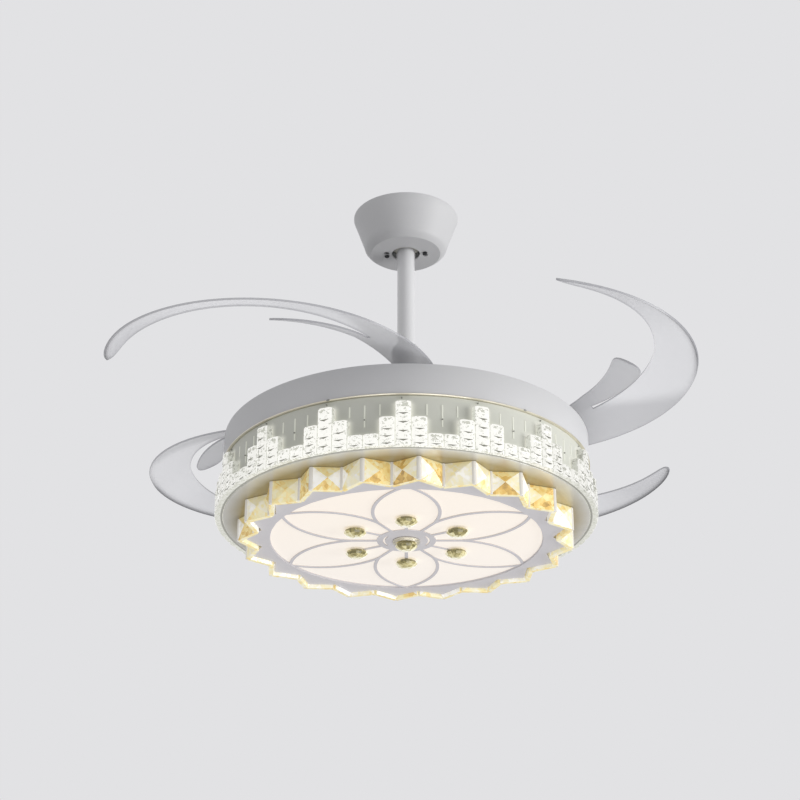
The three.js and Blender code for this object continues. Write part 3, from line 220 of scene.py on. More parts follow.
room_size = 24
floor_drop = 3400
room_floor = bmesh.new()
bmesh.ops.create_grid(room_floor, x_segments=1, y_segments=1, size=room_size / 2)
bmesh.ops.translate(room_floor, verts=room_floor.verts[:], vec=(0, 0, -floor_drop * MM))
floor = in_scene("studio_floor", as_mesh("studio_floor", room_floor))
floor_paint = Finish("studio_floor", srgb(222, 222, 224), 0.9).speckle(0.03, 0.7)
floor.data.materials.append(floor_paint.material)

backdrop_colour = srgb(226, 226, 228)
ambient_colour = (1.0, 1.0, 1.01, 1.0)
ambient_strength = 0.46
world = bpy.data.worlds.new("studio")
world.use_nodes = True
scene.world = world
sky = world.node_tree
sky_output = sky.nodes["World Output"]
ambient = sky.nodes["Background"]
ambient.inputs["Color"].default_value = ambient_colour
ambient.inputs["Strength"].default_value = ambient_strength
backdrop = sky.nodes.new("ShaderNodeBackground")
backdrop.inputs["Color"].default_value = backdrop_colour
ray = sky.nodes.new("ShaderNodeLightPath")
shown = ray.outputs["Is Camera Ray"]
for kind in ("Is Glossy Ray", "Is Transmission Ray"):
    either = sky.nodes.new("ShaderNodeMath")
    either.operation = "MAXIMUM"
    sky.links.new(shown, either.inputs[0])
    sky.links.new(ray.outputs[kind], either.inputs[1])
    shown = either.outputs[0]
choose = sky.nodes.new("ShaderNodeMixShader")
sky.links.new(shown, choose.inputs[0])
sky.links.new(ambient.outputs[0], choose.inputs[1])
sky.links.new(backdrop.outputs[0], choose.inputs[2])
sky.links.new(choose.outputs[0], sky_output.inputs["Surface"])


lamp_aim = Vector((0, 0, -0.4))


def lamp(name, place, size, power):
    """A square soft light that faces the middle of the fan."""
    light = bpy.data.lights.new(name, "AREA")
    light.shape = "SQUARE"
    light.size = size
    light.energy = power
    made = in_scene(name, light)
    made.location = place
    made.rotation_euler = (lamp_aim - Vector(place)).to_track_quat("-Z", "Y").to_euler()


lamp("key_light", (3.1, -0.9, -0.9), 1.6, 58)
lamp("low_light", (0.4, -0.8, -3.0), 2.4, 37)

camera_out = 2.2378
camera_drop = 1.3695
camera_tilt = 25.67
camera_turn = 0.22
lens_length = 79.9
camera_data = bpy.data.cameras.new("camera")
camera_data.lens = lens_length
camera = in_scene("camera", camera_data)
camera.location = (0, -camera_out, -camera_drop)
camera.rotation_euler = (radians(90 + camera_tilt), 0, radians(camera_turn))
scene.camera = camera


# ---- Ceiling bracket -----------------------------------------------------------------------
# A welded frame of zinc-plated steel, screwed to the ceiling through two slots. The ball that
# carries the fan hangs in its web; the mains wires end in a small block beside the ball.
zinc = Finish("zinc_steel", srgb(176, 178, 178), 0.42, 0.85).speckle(0.18, 260)
nylon = Finish("nylon", srgb(228, 226, 216), 0.5).speckle(0.04, 120)
dress(zinc, "ceiling_bracket")
dress(nylon, "terminal_block", "hanger_ball")


# ---- Canopy --------------------------------------------------------------------------------
# A pressed steel cup painted satin white: tapered wall, a lower tier and a flat plate with the
# rod's hole. Two screws in keyholes hold it under the bracket.
def lathe(profile, steps=128, bm=None, closed=True):
    """Turns a profile of (radius, height) points about the fan's axis."""
    bm = bm or bmesh.new()
    points = [bm.verts.new((r, 0, z)) for r, z in profile]
    ends = points[1:] + points[:1] if closed else points[1:]
    lines = [bm.edges.new(pair) for pair in zip(points, ends)]
    bmesh.ops.spin(bm, geom=points + lines, axis=(0, 0, 1), cent=(0, 0, 0), steps=steps,
                   angle=tau, use_merge=True, use_duplicate=False)
    return bm


def shifted(bm, place, turn=0.0, verts=None):
    """Moves a mesh, or some of its vertices, to a place, then turns it about the fan's axis."""
    verts = verts or bm.verts[:]
    bmesh.ops.translate(bm, verts=verts, vec=place)
    bmesh.ops.rotate(bm, verts=verts, cent=(0, 0, 0), matrix=Matrix.Rotation(turn, 3, "Z"))
    return bm


def peg(bm, radius, height, segments, taper=1):
    """Adds an upright cylinder, or a cone that tapers upwards, about the origin."""
    return bmesh.ops.create_cone(bm, cap_ends=True, segments=segments, radius1=radius,
                                 radius2=radius * taper, depth=height)["verts"]


def round_at(radius, angle, height=0.0):
    return Vector((radius * cos(angle), radius * sin(angle), height))


def cut_out(made, tool):
    """Cuts a closed mesh, in millimetres, out of a piece and applies the piece's modifiers."""
    bmesh.ops.scale(tool, vec=(MM, MM, MM), verts=tool.verts[:])
    cutter = in_scene("tool", as_mesh("tool", tool))
    hole = made.modifiers.new("hole", "BOOLEAN")
    hole.object = cutter
    hole.operation = "DIFFERENCE"
    evaluated = made.evaluated_get(bpy.context.evaluated_depsgraph_get())
    cut = bpy.data.meshes.new_from_object(evaluated)
    made.modifiers.clear()
    made.data = cut
    bpy.data.objects.remove(cutter)


white_paint = Finish("white_paint", srgb(219, 219, 220), 0.5)
white_paint.relief(white_paint.noise(900), 0.0001, 0.12)
bright_steel = Finish("bright_steel", srgb(150, 150, 152), 0.3, 0.95).speckle(0.1, 200)

canopy_drop = 58.6
canopy_sheet = 1.5
canopy_hole = 20.4
canopy_wall = [(50, -canopy_drop), (52.2, -57), (56.6, -53.6), (59.6, -49.6), (61, -44.6), (73, -10),
               (76, -2), (76, -0.3)]
canopy_inside = [(r - canopy_sheet, max(z, canopy_sheet - canopy_drop)) for r, z in reversed(canopy_wall)]
canopy_profile = [(canopy_hole, -canopy_drop), *canopy_wall, *canopy_inside,
                  (canopy_hole, canopy_sheet - canopy_drop)]
screw_circle = 28
screw_turn = radians(-10)
keyhole_length = 7
keyhole_ends = ((2.5, 0), (4.1, keyhole_length / screw_circle))
canopy = piece("canopy", lathe(canopy_profile), "ceiling_fixing", [white_paint],
               ["canopy"], bevel=0)
for side in range(2):
    for radius, turn in keyhole_ends:
        tool = bmesh.new()
        peg(tool, radius, 6, 32)
        shifted(tool, round_at(screw_circle, screw_turn + turn + pi * side, -canopy_drop))
        cut_out(canopy, tool)

screw_profile = [(0, -61.1), (2.4, -61), (3.4, -60.2), (3.6, -58.9), (2, -58.9), (2, -56), (0, -56)]
dark_steel = Finish("blackened_steel", srgb(62, 62, 64), 0.4, 0.8)
for side in range(2):
    name = f"canopy_screw_{side + 1}"
    screw = lathe(screw_profile, 24, closed=False)
    shifted(screw, round_at(screw_circle, screw_turn + pi * side))
    piece(name, screw, "ceiling_fixing", [dark_steel], [name], bevel=0.15)


# ---- Downrod -------------------------------------------------------------------------------
# A steel tube in a glossier coat of the paint, pinned in the hanger ball above and bolted in the
# coupler below.
rod_outer = 12.5
rod_inner = 10.9
rod_top = -11
rod_foot = -242
rod_paint = Finish("rod_paint", srgb(242, 242, 243), 0.35, Coat_Weight=0.4)
rod_paint.relief(rod_paint.noise(900), 0.0001, 0.08)
rod_profile = [(rod_inner, rod_foot), (rod_outer, rod_foot), (rod_outer, rod_top), (rod_inner, rod_top)]
piece("downrod", lathe(rod_profile, 96), "hanging_body", [rod_paint], ["downrod"])
dress(bright_steel, "ball_cross_pin", "coupler_bolt", "motor_shaft", "shaft_nut")
dress(zinc, "rod_coupler", "lamp_flange")


# ---- Coupling cover ------------------------------------------------------------------------
# A spun bell in the rod's paint that hides the coupler: a straight neck over a flared skirt.
bell_sheet = 1.4
bell_top = -212
bell_hole = 12.8
bell_outside = [(42, -300), (41.4, -296), (40, -291.5), (36.6, -282), (31.4, -272.4), (25.4, -262.6),
                (21.6, -256), (20.4, -250), (20.4, -217), (19.8, -214.4), (18.2, -212.6), (16.2, bell_top)]
bell_inside = [(r - bell_sheet, min(z, bell_top - bell_sheet)) for r, z in reversed(bell_outside)]
bell_profile = [*bell_outside, (bell_hole, bell_top), (bell_hole, bell_top - bell_sheet), *bell_inside]
piece("coupling_cover", lathe(bell_profile, 96), "hanging_body", [rod_paint],
      ["coupling_cover"], bevel=0)


# ---- Motor ---------------------------------------------------------------------------------
# An outer-rotor motor in two painted shells. Inside are the magnets, the laminated core with
# its copper end windings and two ball bearings.
ferrite = Finish("ferrite", srgb(52, 52, 54), 0.75, 0.2).speckle(0.2, 300)
core_steel = Finish("silicon_steel", srgb(92, 94, 98), 0.5, 0.8)
laminations = core_steel.noise(60, 1.0, (1, 1, 60))
core_steel.relief(laminations, 0.0003)
copper = Finish("copper_wire", srgb(190, 108, 62), 0.35, 0.9).speckle(0.3, 500, (1, 1, 4))
upper_profile = [
    (92, -338.7), (92, -325), (91, -320.4), (88.4, -316.6), (84.6, -314), (80, -313), (26.6, -309),
    (20.6, -303), (10.5, -303), (10.5, -305.4), (18.2, -305.4), (18.2, -314.4), (79, -315.4), (89.6, -325),
    (89.6, -338.7)]
lower_profile = [
    (10.5, -381), (20.6, -381), (24.6, -375), (92, -375), (92, -369.7), (106, -369.7), (106, -367.3),
    (92, -367.3), (92, -339.3), (89.6, -339.3), (89.6, -372.6), (18.2, -372.6), (18.2, -378.6),
    (10.5, -378.6)]
for name, profile in (("rotor_upper_shell", upper_profile), ("rotor_lower_shell", lower_profile)):
    piece(name, lathe(profile, 96), "rotor", [white_paint], [name])
dress(ferrite, "magnet_ring")
dress(core_steel, "stator_core")
dress(copper, "upper_winding", "lower_winding")
dress(bright_steel, "upper_bearing", "lower_bearing")


# ---- Blade carrier and timing gear ---------------------------------------------------------
# An aluminium disc with four windows, bolted to the motor's lower flange. A nylon ring slides on
# its bead and turns the toothed roots of all four blades together.
def pierced_disc(radii, steps, level, thickness, is_open):
    """A flat ring in bands between radii; bands and directions that are open are left out."""
    bm = lathe([(r, level) for r in radii], steps, closed=False)
    gaps = []
    for face in bm.faces:
        middle = face.calc_center_median()
        if is_open(hypot(middle.x, middle.y), degrees(atan2(middle.y, middle.x))):
            gaps.append(face)
    bmesh.ops.remove_doubles(bm, verts=bm.verts[:], dist=weld_distance)
    bmesh.ops.delete(bm, geom=[f for f in gaps if f.is_valid], context="FACES")
    bmesh.ops.recalc_face_normals(bm, faces=bm.faces[:])
    if bm.faces[:][0].normal.z < 0:
        bmesh.ops.reverse_faces(bm, faces=bm.faces[:])
    bmesh.ops.solidify(bm, geom=bm.faces[:], thickness=thickness)
    return bm


blade_count = 4
pivot_circle = 180
arc_centre_out = 234.4
arc_centre_turn = -48
pivot_angle = arc_centre_turn + degrees(acos(arc_centre_out / 2 / pivot_circle))
carrier_top = -364
carrier_sheet = 3
carrier_radius = 206
carrier_bore = 92.3
carrier_steps = 120
bead_outer = 101.3
bead_top = -361.3
window_inner = 115.3
window_outer = 188
window_half_angle = 27


def in_window(radius, angle):
    """Whether a place lies in one of the windows, which are midway between the pivots."""
    step = 360 / blade_count
    off = (angle - pivot_angle) % step - step / 2
    return window_inner < radius < window_outer and abs(off) < window_half_angle


spun_aluminium = Finish("spun_aluminium", srgb(190, 191, 193), 0.35, 0.9)
turning_marks = spun_aluminium.noise(30, 2.0, (1, 1, 8))
spun_aluminium.set("Roughness", turning_marks * 0.2 + 0.25)
carrier_rings = [carrier_bore, bead_outer, window_inner, window_outer, carrier_radius]
bead_profile = [(carrier_bore, carrier_top), (bead_outer, carrier_top), (bead_outer, bead_top),
                (carrier_bore, bead_top)]
carrier = pierced_disc(carrier_rings, carrier_steps, carrier_top, carrier_sheet, in_window)
lathe(bead_profile, carrier_steps, carrier)
piece("blade_carrier", carrier, "rotor", [spun_aluminium], ["blade_carrier"], bevel=0.3)
dress(nylon, "timing_gear")


# ---- Blades --------------------------------------------------------------------------------
# Four moulded blades of smoky grey acrylic, each a crescent and a shorter winglet that part at a
# slot. The root has a round boss with the return spring and the shoulder rivet it turns on.
def smoky(name, colour, clear, shade_colour=None, rim_colour=None):
    """Tinted acrylic: part of the light goes straight through each of the blade's faces, and the
    moulded rim along the outer edge gathers into a darker line. Painted shade darkens the root
    and the winglet and lets less light through there; the tip is darker too."""
    rim_cover = 0.8
    shaded_root_dark_tip_cover = 0.25
    finish = Finish(name, colour, 0.3, Alpha=1 - clear, Coat_Weight=0.3, Coat_Roughness=0.3)
    if rim_colour:
        rim = finish.attribute("rim") ** 3
        shaded_root_dark_tip = finish.attribute("shaded_root_dark_tip")
        finish.set("Base Color", finish.mix(rim, finish.mix(shaded_root_dark_tip, colour, shade_colour), rim_colour))
        cover = (rim * rim_cover).maths("MAXIMUM", shaded_root_dark_tip * shaded_root_dark_tip_cover)
        finish.set("Alpha", cover * clear + (1 - clear))
    return finish


blade_radius = 220
blade_span = 166.6
blade_sheet = 2.5
root_rise = 5.5
climb_rate = 11
crescent_offset = 36.7
crescent_widest = 56.7
crescent_radius = 196
slot_start = 30
slot_tip_width = 9
slot_root_width = 5
winglet_span = 81
winglet_radius = 114
winglet_sweep = 51
winglet_sweep_curve = 1.7
tip_taper = 12
root_taper = 9
root_floor = 200
winglet_taper = 10
blade_pitch = 0.38
winglet_pitch = 0.52
winglet_drop = 17.5
winglet_sag_blend = 3
winglet_middle = 0.45
crescent_middle = 0.67
end_roundness = 2.6
blade_camber = 2.6
winglet_lines = 8
crescent_lines = 10
ring_top = -362
arc_centre = round_at(arc_centre_out, radians(arc_centre_turn))
pivot_place = round_at(pivot_circle, radians(pivot_angle))
pivot_heading = atan2(pivot_place.y - arc_centre.y, pivot_place.x - arc_centre.x)


def between(value, low, high):
    return min(max(value, low), high)


def inner_edge(alpha):
    """Distance of the crescent's inner edge from the centre of the outer arc."""
    off = crescent_offset * -cos(radians(alpha - crescent_widest))
    return off + sqrt(off ** 2 - crescent_offset ** 2 + crescent_radius ** 2)


def slot_share(alpha):
    return between((alpha - slot_start) / (winglet_span - slot_start), 0, 1)


def rounding(alpha, end, taper):
    """1 along the blade, falling to 0 in a round end."""
    into = between((alpha - (end - taper)) / taper, 0, 0.9995)
    return (1 - into ** end_roundness) ** (1 / end_roundness)


def blade_level(alpha, radius):
    inner = inner_edge(alpha)
    across = min((blade_radius - radius) / (blade_radius - inner), 1)
    beyond = max(inner - radius, 0)
    sag = winglet_drop * slot_share(alpha) * between(beyond / winglet_sag_blend, 0, 1)
    twist = (winglet_pitch - blade_pitch) * slot_share(alpha) * beyond
    camber = blade_camber * 4 * across * (1 - across)
    climb = climb_rate * radians(max(alpha, 0))
    return ring_top + root_rise + climb + camber + blade_pitch * (blade_radius - radius) + twist - sag


def blade_section(alpha):
    """Radii of the lines along the blade: the winglet's, then the crescent's."""
    slot = slot_root_width + (slot_tip_width - slot_root_width) * slot_share(alpha)
    crescent = inner_edge(alpha)
    left = 1 - between(alpha, 0, winglet_span) / winglet_span
    winglet = winglet_radius + winglet_sweep * left ** winglet_sweep_curve
    winglet_share = rounding(alpha, winglet_span, winglet_taper)
    crescent_share = rounding(alpha, blade_span, tip_taper)
    ends = []
    for low, high, lines, share, middle in (
            (winglet, crescent - slot, winglet_lines, winglet_share, winglet_middle),
            (crescent, blade_radius, crescent_lines, crescent_share, crescent_middle)):
        centre = low + (high - low) * middle
        for i in range(lines + 1):
            ends.append(centre + (low + (high - low) * i / lines - centre) * share)
    root = rounding(-alpha, root_taper, root_taper)
    return [root_floor + (radius - root_floor) * root for radius in ends]


def spaced(start, end, steps):
    return [start + (end - start) * i / steps for i in range(steps)]


def eased(start, end, steps):
    """Angles that crowd together towards the end, where a blade rounds off."""
    return [start + (end - start) * sin(pi / 2 * i / steps) for i in range(steps)]


root_angles = [-a for a in eased(0, root_taper, 7)][:0:-1]
winglet_rounds = winglet_span - winglet_taper
tip_rounds = blade_span - tip_taper
blade_angles = [-root_taper, *root_angles, *spaced(0, slot_start, 14),
                *spaced(slot_start, winglet_rounds, 20), *eased(winglet_rounds, winglet_span, 9),
                *spaced(winglet_span, tip_rounds, 32), *eased(tip_rounds, blade_span, 12), blade_span]
blade_grid = bmesh.new()
rows = len(blade_angles) - 1
columns = winglet_lines + crescent_lines + 1
bmesh.ops.create_grid(blade_grid, x_segments=rows, y_segments=columns, size=1)
bmesh.ops.scale(blade_grid, vec=(rows / 2, columns / 2, 1), verts=blade_grid.verts[:])
bmesh.ops.translate(blade_grid, verts=blade_grid.verts[:], vec=(rows / 2, columns / 2, 0))


def is_left_out(face):
    middle = face.calc_center_median()
    end = blade_angles[int(middle.x) + 1]
    if int(middle.y) == winglet_lines:
        return end > slot_start + 0.01
    return int(middle.y) < winglet_lines and end > winglet_span + 0.01


gaps = [face for face in blade_grid.faces if is_left_out(face)]
bmesh.ops.delete(blade_grid, geom=gaps, context="FACES")
rim_mark = blade_grid.verts.layers.float.new("rim")
shaded_root_dark_tip_mark = blade_grid.verts.layers.float.new("shaded_root_dark_tip")
rim_width = 12
rim_starts = 35
rim_full = 95
winglet_rim_angle = 2.2
# Painted shade over the blade's root, which reaches further along the blade on the crescent's outer lines and
# then fades; the tip is also darker.
root_shade_ends = (42, 76)
root_shade_fade = 12
root_shade_strength = 0.9
tip_darkens = 105
tip_dark_fade = 35
tip_darkness = 0.65
for vertex in blade_grid.verts:
    alpha = blade_angles[round(vertex.co.x)]
    line = round(vertex.co.y)
    section = blade_section(alpha)
    heading = pivot_heading - radians(alpha)
    vertex.co = arc_centre + round_at(section[line], heading, blade_level(alpha, section[line]))
    if line > winglet_lines:
        nearness = between(1 - (section[-1] - section[line]) / rim_width, 0, 1)
        vertex[rim_mark] = nearness * between((alpha - rim_starts) / (rim_full - rim_starts), 0, 1)
        outward = (line - winglet_lines - 1) / crescent_lines
        thins = root_shade_ends[0] + (root_shade_ends[1] - root_shade_ends[0]) * outward
        root_shade_share = between((thins - alpha) / root_shade_fade, 0, 1)
        tip_dark_share = between((alpha - tip_darkens) / tip_dark_fade, 0, 1)
        vertex[shaded_root_dark_tip_mark] = root_shade_strength * root_shade_share + tip_darkness * tip_dark_share
    else:
        vertex[rim_mark] = between(1 - (winglet_span - alpha) / winglet_rim_angle, 0, 1)
        # The whole winglet carries the painted shade.
        vertex[shaded_root_dark_tip_mark] = 1
bmesh.ops.remove_doubles(blade_grid, verts=blade_grid.verts[:], dist=0.01)

# The third colour is the colour of the painted shade, the fourth the rim's.
acrylic = smoky("smoky_acrylic", srgb(242, 242, 246), 0.7, srgb(200, 200, 204), srgb(76, 76, 80))
acrylic_edge = smoky("smoky_acrylic_edge", srgb(150, 150, 156), 0.4)
first_blade = piece("blade_1", blade_grid, "blade_1", [acrylic, acrylic_edge],
                    ["blade_1"], bevel=0)
sheet = first_blade.modifiers.new("sheet", "SOLIDIFY")
sheet.thickness = blade_sheet * MM
sheet.offset = 0
sheet.material_offset_rim = 1
pocket_radius = 12.6
pocket_middle = -340
pocket = bmesh.new()
peg(pocket, pocket_radius, 30, 48)
cut_out(first_blade, shifted(pocket, pivot_place + Vector((0, 0, pocket_middle))))
first_blade.data.set_sharp_from_angle(angle=radians(50))

boss_profile = [(5.1, -356), (24, -356), (26.6, -355.2), (28.4, -353.5), (29, -351.5), (29, -344), (28, -343),
                (pocket_radius, -343), (pocket_radius, -352.2), (5.1, -352.2)]
rivet_profile = [(0, -369.8), (6.4, -369.8), (7, -369.2), (7, -367.3), (5, -367.3), (5, -342.7), (12, -342.7),
                 (12, -341.4), (10.4, -339.2), (9.4, -338.7), (0, -338.7)]
teeth = 20
toothed_angle = 140
tooth_tip = 32.8
tooth_root = 26.2
tooth_foot = -363.7
tooth_height = 7.6


def raise_faces(bm, faces, height):
    """Extrudes flat faces upwards."""
    raised = bmesh.ops.extrude_face_region(bm, geom=faces)["geom"]
    tops = [g for g in raised if isinstance(g, bmesh.types.BMVert)]
    bmesh.ops.translate(bm, verts=tops, vec=(0, 0, height))


def add_mesh(bm, extra):
    """Adds a second mesh to the first."""
    shape = as_mesh("extra", extra)
    bm.from_mesh(shape)
    bpy.data.meshes.remove(shape)


for i in range(blade_count):
    turn = tau * i / blade_count
    name = f"blade_{i + 1}"
    if i:
        other = bmesh.new()
        other.from_mesh(first_blade.data)
        bmesh.ops.scale(other, vec=(1 / MM, 1 / MM, 1 / MM), verts=other.verts[:])
        shifted(other, (0, 0, 0), turn)
        piece(name, other, name, [acrylic, acrylic_edge], [name], bevel=0, crease=50)
    boss = lathe(boss_profile, 64)
    gear = bmesh.new()
    bmesh.ops.create_circle(gear, cap_ends=True, segments=teeth * 4, radius=1)
    for vertex in gear.verts[:]:
        angle = atan2(vertex.co.y, vertex.co.x)
        toothed = degrees(angle - radians(pivot_angle) - pi) % 360 < toothed_angle
        high = toothed and (round(angle / tau * teeth * 4) % 4) < 2
        vertex.co = round_at(tooth_tip if high else tooth_root, angle, tooth_foot)
    raise_faces(gear, gear.faces[:], tooth_height)
    add_mesh(boss, gear)
    shifted(boss, pivot_place, turn)
    piece(f"{name}_boss", boss, name, [acrylic_edge], bevel=0.3)
    rivet = shifted(lathe(rivet_profile, 48, closed=False), pivot_place, turn)
    name = f"pivot_rivet_{i + 1}"
    piece(name, rivet, "rotor", [bright_steel], [name], bevel=0)
dress(bright_steel, *[f"return_spring_{i + 1}" for i in range(blade_count)])


# ---- Lamp pan and its electrics ------------------------------------------------------------
# A deep aluminium pan hangs on the motor's shaft by a cast hub and a nut. The LED driver and the
# receiver of the remote control are stuck under its top, and an LED strip runs round its wall.
control_plastic = Finish("control_plastic", srgb(226, 226, 222), 0.5).speckle(0.03, 300)
led_board = Finish("led_board", srgb(238, 238, 232), 0.45).speckle(0.05, 150)
dress(spun_aluminium, "lamp_pan")
dress(control_plastic, "led_driver", "remote_receiver")
dress(led_board, "wall_led_strip", "led_board")


# ---- Drum ring and gold trim ---------------------------------------------------------------
# A spun steel ring, open at the top where the folded blades lie, in the canopy's paint. Below it
# runs a thin gilt hoop, held by small grey screws.
ring_profile = [(228, -404), (250, -404), (250, -364.3), (249.4, -362.8), (247.7, -362), (232, -362),
                (232, -363), (247.7, -363), (249, -364.3), (249, -403), (228, -403)]
piece("drum_ring", lathe(ring_profile, 192), "hanging_body", [white_paint], ["drum_ring"],
      bevel=0)

gold = Finish("gold_trim", srgb(244, 238, 220), 0.35, 0.8).speckle(0.08, 80)
trim_profile = [(246, -406.1), (250.4, -406.1), (251, -405.6), (251, -404.8), (250.4, -404.3), (246, -404.3)]
piece("gold_trim", lathe(trim_profile, 192), "hanging_body", [gold], ["gold_trim"], bevel=0)

trim_screws = bmesh.new()
trim_screw_count = 6
trim_screw_turn = radians(-113)
trim_screw_radius = 2.4
trim_screw_place = (251, 0, -405.2)
for i in range(trim_screw_count):
    head = bmesh.ops.create_uvsphere(trim_screws, u_segments=16, v_segments=8,
                                     radius=trim_screw_radius)["verts"]
    bmesh.ops.scale(trim_screws, vec=(0.25, 1, 0.55), verts=head)
    shifted(trim_screws, trim_screw_place, trim_screw_turn + tau * i / trim_screw_count, head)
grey_steel = Finish("grey_steel", srgb(150, 150, 143), 0.5, 0.3)
piece("trim_screws", trim_screws, "hanging_body", [grey_steel], bevel=0)


# ---- Crystal backing -----------------------------------------------------------------------
# The lamp's wall behind the crystals: a hoop of frosted acrylic lit from inside. Narrow clear
# slits over the low crystals let more light through, three in every step of the skyline.
wall_top = -406.4
wall_foot = -477.2
wall_radius = 247.5
wall_inside = 243.5
periods = 16
columns_in_period = 5
column_turn = tau / (periods * columns_in_period)
skyline_start = radians(-90.8)
skyline_foot = -478.4
peak_height = 60
shoulder_height = 38.8
low_height = 16.5
painted_halo_reach = 9


def column_turns(finish):
    """How many columns of the skyline lie between the first one's edge and the place, and
    how far up the place is."""
    x, y, z = finish.axes()
    turns = (y.maths("ARCTAN2", x) - skyline_start) * (1 / column_turn) + 0.5 + columns_in_period * periods
    return turns, (turns * (1 / columns_in_period)).part() * columns_in_period, z


black = (0.0, 0.0, 0.0, 1.0)
wall_grey = srgb(219, 220, 209)
# Glow of the lamp's slits, and the strength of the wall's painted halo.
slit_and_halo_glow = 0.2
column_breadth = 20
frosted = Finish("frosted_acrylic", wall_grey, 0.45, Emission_Strength=slit_and_halo_glow)
phase, height = column_turns(frosted)[1:]
from_peak = 2.5 - abs(abs(phase - 0.5) - 2.5)
# Painted halo: painted light that makes the wall paler and glowing close above and beside each step of the
# skyline.
painted_halo = 0.0
for edge, top in ((0.5, peak_height), (1.5, shoulder_height), (2.6, low_height)):
    above = height * (1 / MM) - (skyline_foot + top)
    beside = (from_peak - edge) * (column_breadth / painted_halo_reach)
    step = (1 - (above * (1 / painted_halo_reach)).limited() - beside.limited()).limited() ** 2
    painted_halo = step.maths("MAXIMUM", painted_halo)
frosted.set("Base Color", frosted.mix(painted_halo, wall_grey, srgb(240, 239, 230)))
frosted.set("Emission Color", frosted.mix(painted_halo, black, srgb(240, 240, 226)))
backing_profile = [(wall_inside, wall_foot), (wall_radius, wall_foot), (wall_radius, wall_top),
                   (wall_inside, wall_top)]
piece("crystal_backing", lathe(backing_profile, 192), "hanging_body", [frosted],
      ["crystal_backing"], bevel=0.3)

slit_top = -418
slit_lengths = ((1.5, 15), (2.5, 30), (3.5, 15))
slit_width = 1.7
slit_depth = 1.2
slit_glow = Finish("slit_light", srgb(228, 229, 218), 0.3, Emission_Color=srgb(232, 234, 218),
                   Emission_Strength=slit_and_halo_glow)
wall_screw_spots = ((2.5, -438, 1.1), (-0.1, -410, 1))
screws = bmesh.new()
slits = bmesh.new()
for period in range(periods):
    first = period * columns_in_period
    for at, length in slit_lengths:
        slit = bmesh.ops.create_cube(slits, size=1)["verts"]
        bmesh.ops.scale(slits, vec=(slit_depth, slit_width, length), verts=slit)
        turn = skyline_start + column_turn * (first + at)
        shifted(slits, (wall_radius, 0, slit_top - length / 2), turn, slit)
    for at, level, size in wall_screw_spots:
        screw = peg(screws, size, 2.4, 12, taper=0.8)
        bmesh.ops.rotate(screws, verts=screw, cent=(0, 0, 0), matrix=Matrix.Rotation(pi / 2, 3, "Y"))
        turn = skyline_start + column_turn * (first + at)
        shifted(screws, (wall_radius + 0.6, 0, level), turn, screw)
piece("wall_slits", slits, "hanging_body", [slit_glow], bevel=0.2)
piece("wall_screws", screws, "hanging_body", [grey_steel], bevel=0)


# ---- Crystal skyline -----------------------------------------------------------------------
# Eighty columns of square cut-glass blocks round the wall, five, four, two, two and four blocks
# high in turn. Each block has a raised, bevelled face; dark glints show where two blocks meet.
peak_block = peak_height / 5
shoulder_block = shoulder_height / 4
low_block = low_height / 2
skyline_radius = 259
face_share = 0.66
pattern = ((peak_height, 5), (shoulder_height, 4), (low_height, 2), (low_height, 2), (shoulder_height, 4))
skyline_back = wall_radius + 0.3
block_relief = 0.9
block_border = 1.4
column_gap = 0.4
column_width = 2 * skyline_radius * sin(column_turn / 2)
glass_white = srgb(255, 254, 248)
glass_grey = srgb(196, 197, 184)
glass_dark = srgb(126, 125, 114)
# Only this share of the glass's colour is lit by the lamps; the glow that brightens it is painted light.
glass_lit_share = 0.15
painted_glass_glow = 0.87
smile_level = 0.3
peak_smile_level = 0.62
smile_depth = 0.21
side_shade_starts = 0.14
side_shade_rate = 9
painted_side_dimming = 0.24


def side_shade(finish):
    """Painted side shade: 0 along the drum's front and back, rising to 1 at its left and right."""
    return ((abs(finish.axes()[0]) - side_shade_starts) * side_shade_rate).limited()


def cuts(finish):
    """Random small facets: a grey value that changes every two millimetres or so."""
    return finish.cells(420) * 0.5 + finish.noise(900) * 0.5


def cut_glass(name, light, smiles, cluster, dapple):
    """Clear cut glass in front of the lit wall. It glows with painted light for the lamp behind it,
    and as painted shade it is a little dimmer, with a few more grey facets, at the drum's two
    sides. Each block shows the dark smile of a joint, the top block a cluster of glints, and the
    blocks' sides many small grey facets."""
    finish = Finish(name, light, 0.1, Emission_Strength=painted_glass_glow, Coat_Weight=0.3, Coat_Roughness=0.05)
    turns, phase, z = column_turns(finish)
    across = abs(turns.part() - 0.5)
    shoulder = (phase < 2) + (phase > 4)
    block = shoulder * (shoulder_block - low_block) + low_block + (phase < 1) * (peak_block - shoulder_block)
    down = ((z - (skyline_foot - 0.05) * MM) / (block * MM)).part()
    level = (phase < 1) * (peak_smile_level - smile_level) + smile_level
    smile = (down < level) * (down > (across * 0.6 + level - smile_depth)) * (across < 0.3) * smiles
    side_darkening = side_shade(finish)
    cut = cuts(finish) - side_darkening * 0.07
    glints = (cut < 0.47) * (down > 0.3) * (down < 0.78) * (across < 0.36) * cluster
    dark = smile.maths("MAXIMUM", (cut < dapple * 0.7) * 0.5)
    grey = ((cut < dapple) * 0.75).maths("MAXIMUM", glints).maths("MAXIMUM", (across > 0.47) * 0.5)
    tone = finish.mix(dark, finish.mix(grey, light, glass_grey), glass_dark)
    finish.set("Base Color", finish.mix(glass_lit_share, black, tone))
    finish.set("Emission Color", finish.mix(side_darkening * painted_side_dimming, tone, black))
    return finish


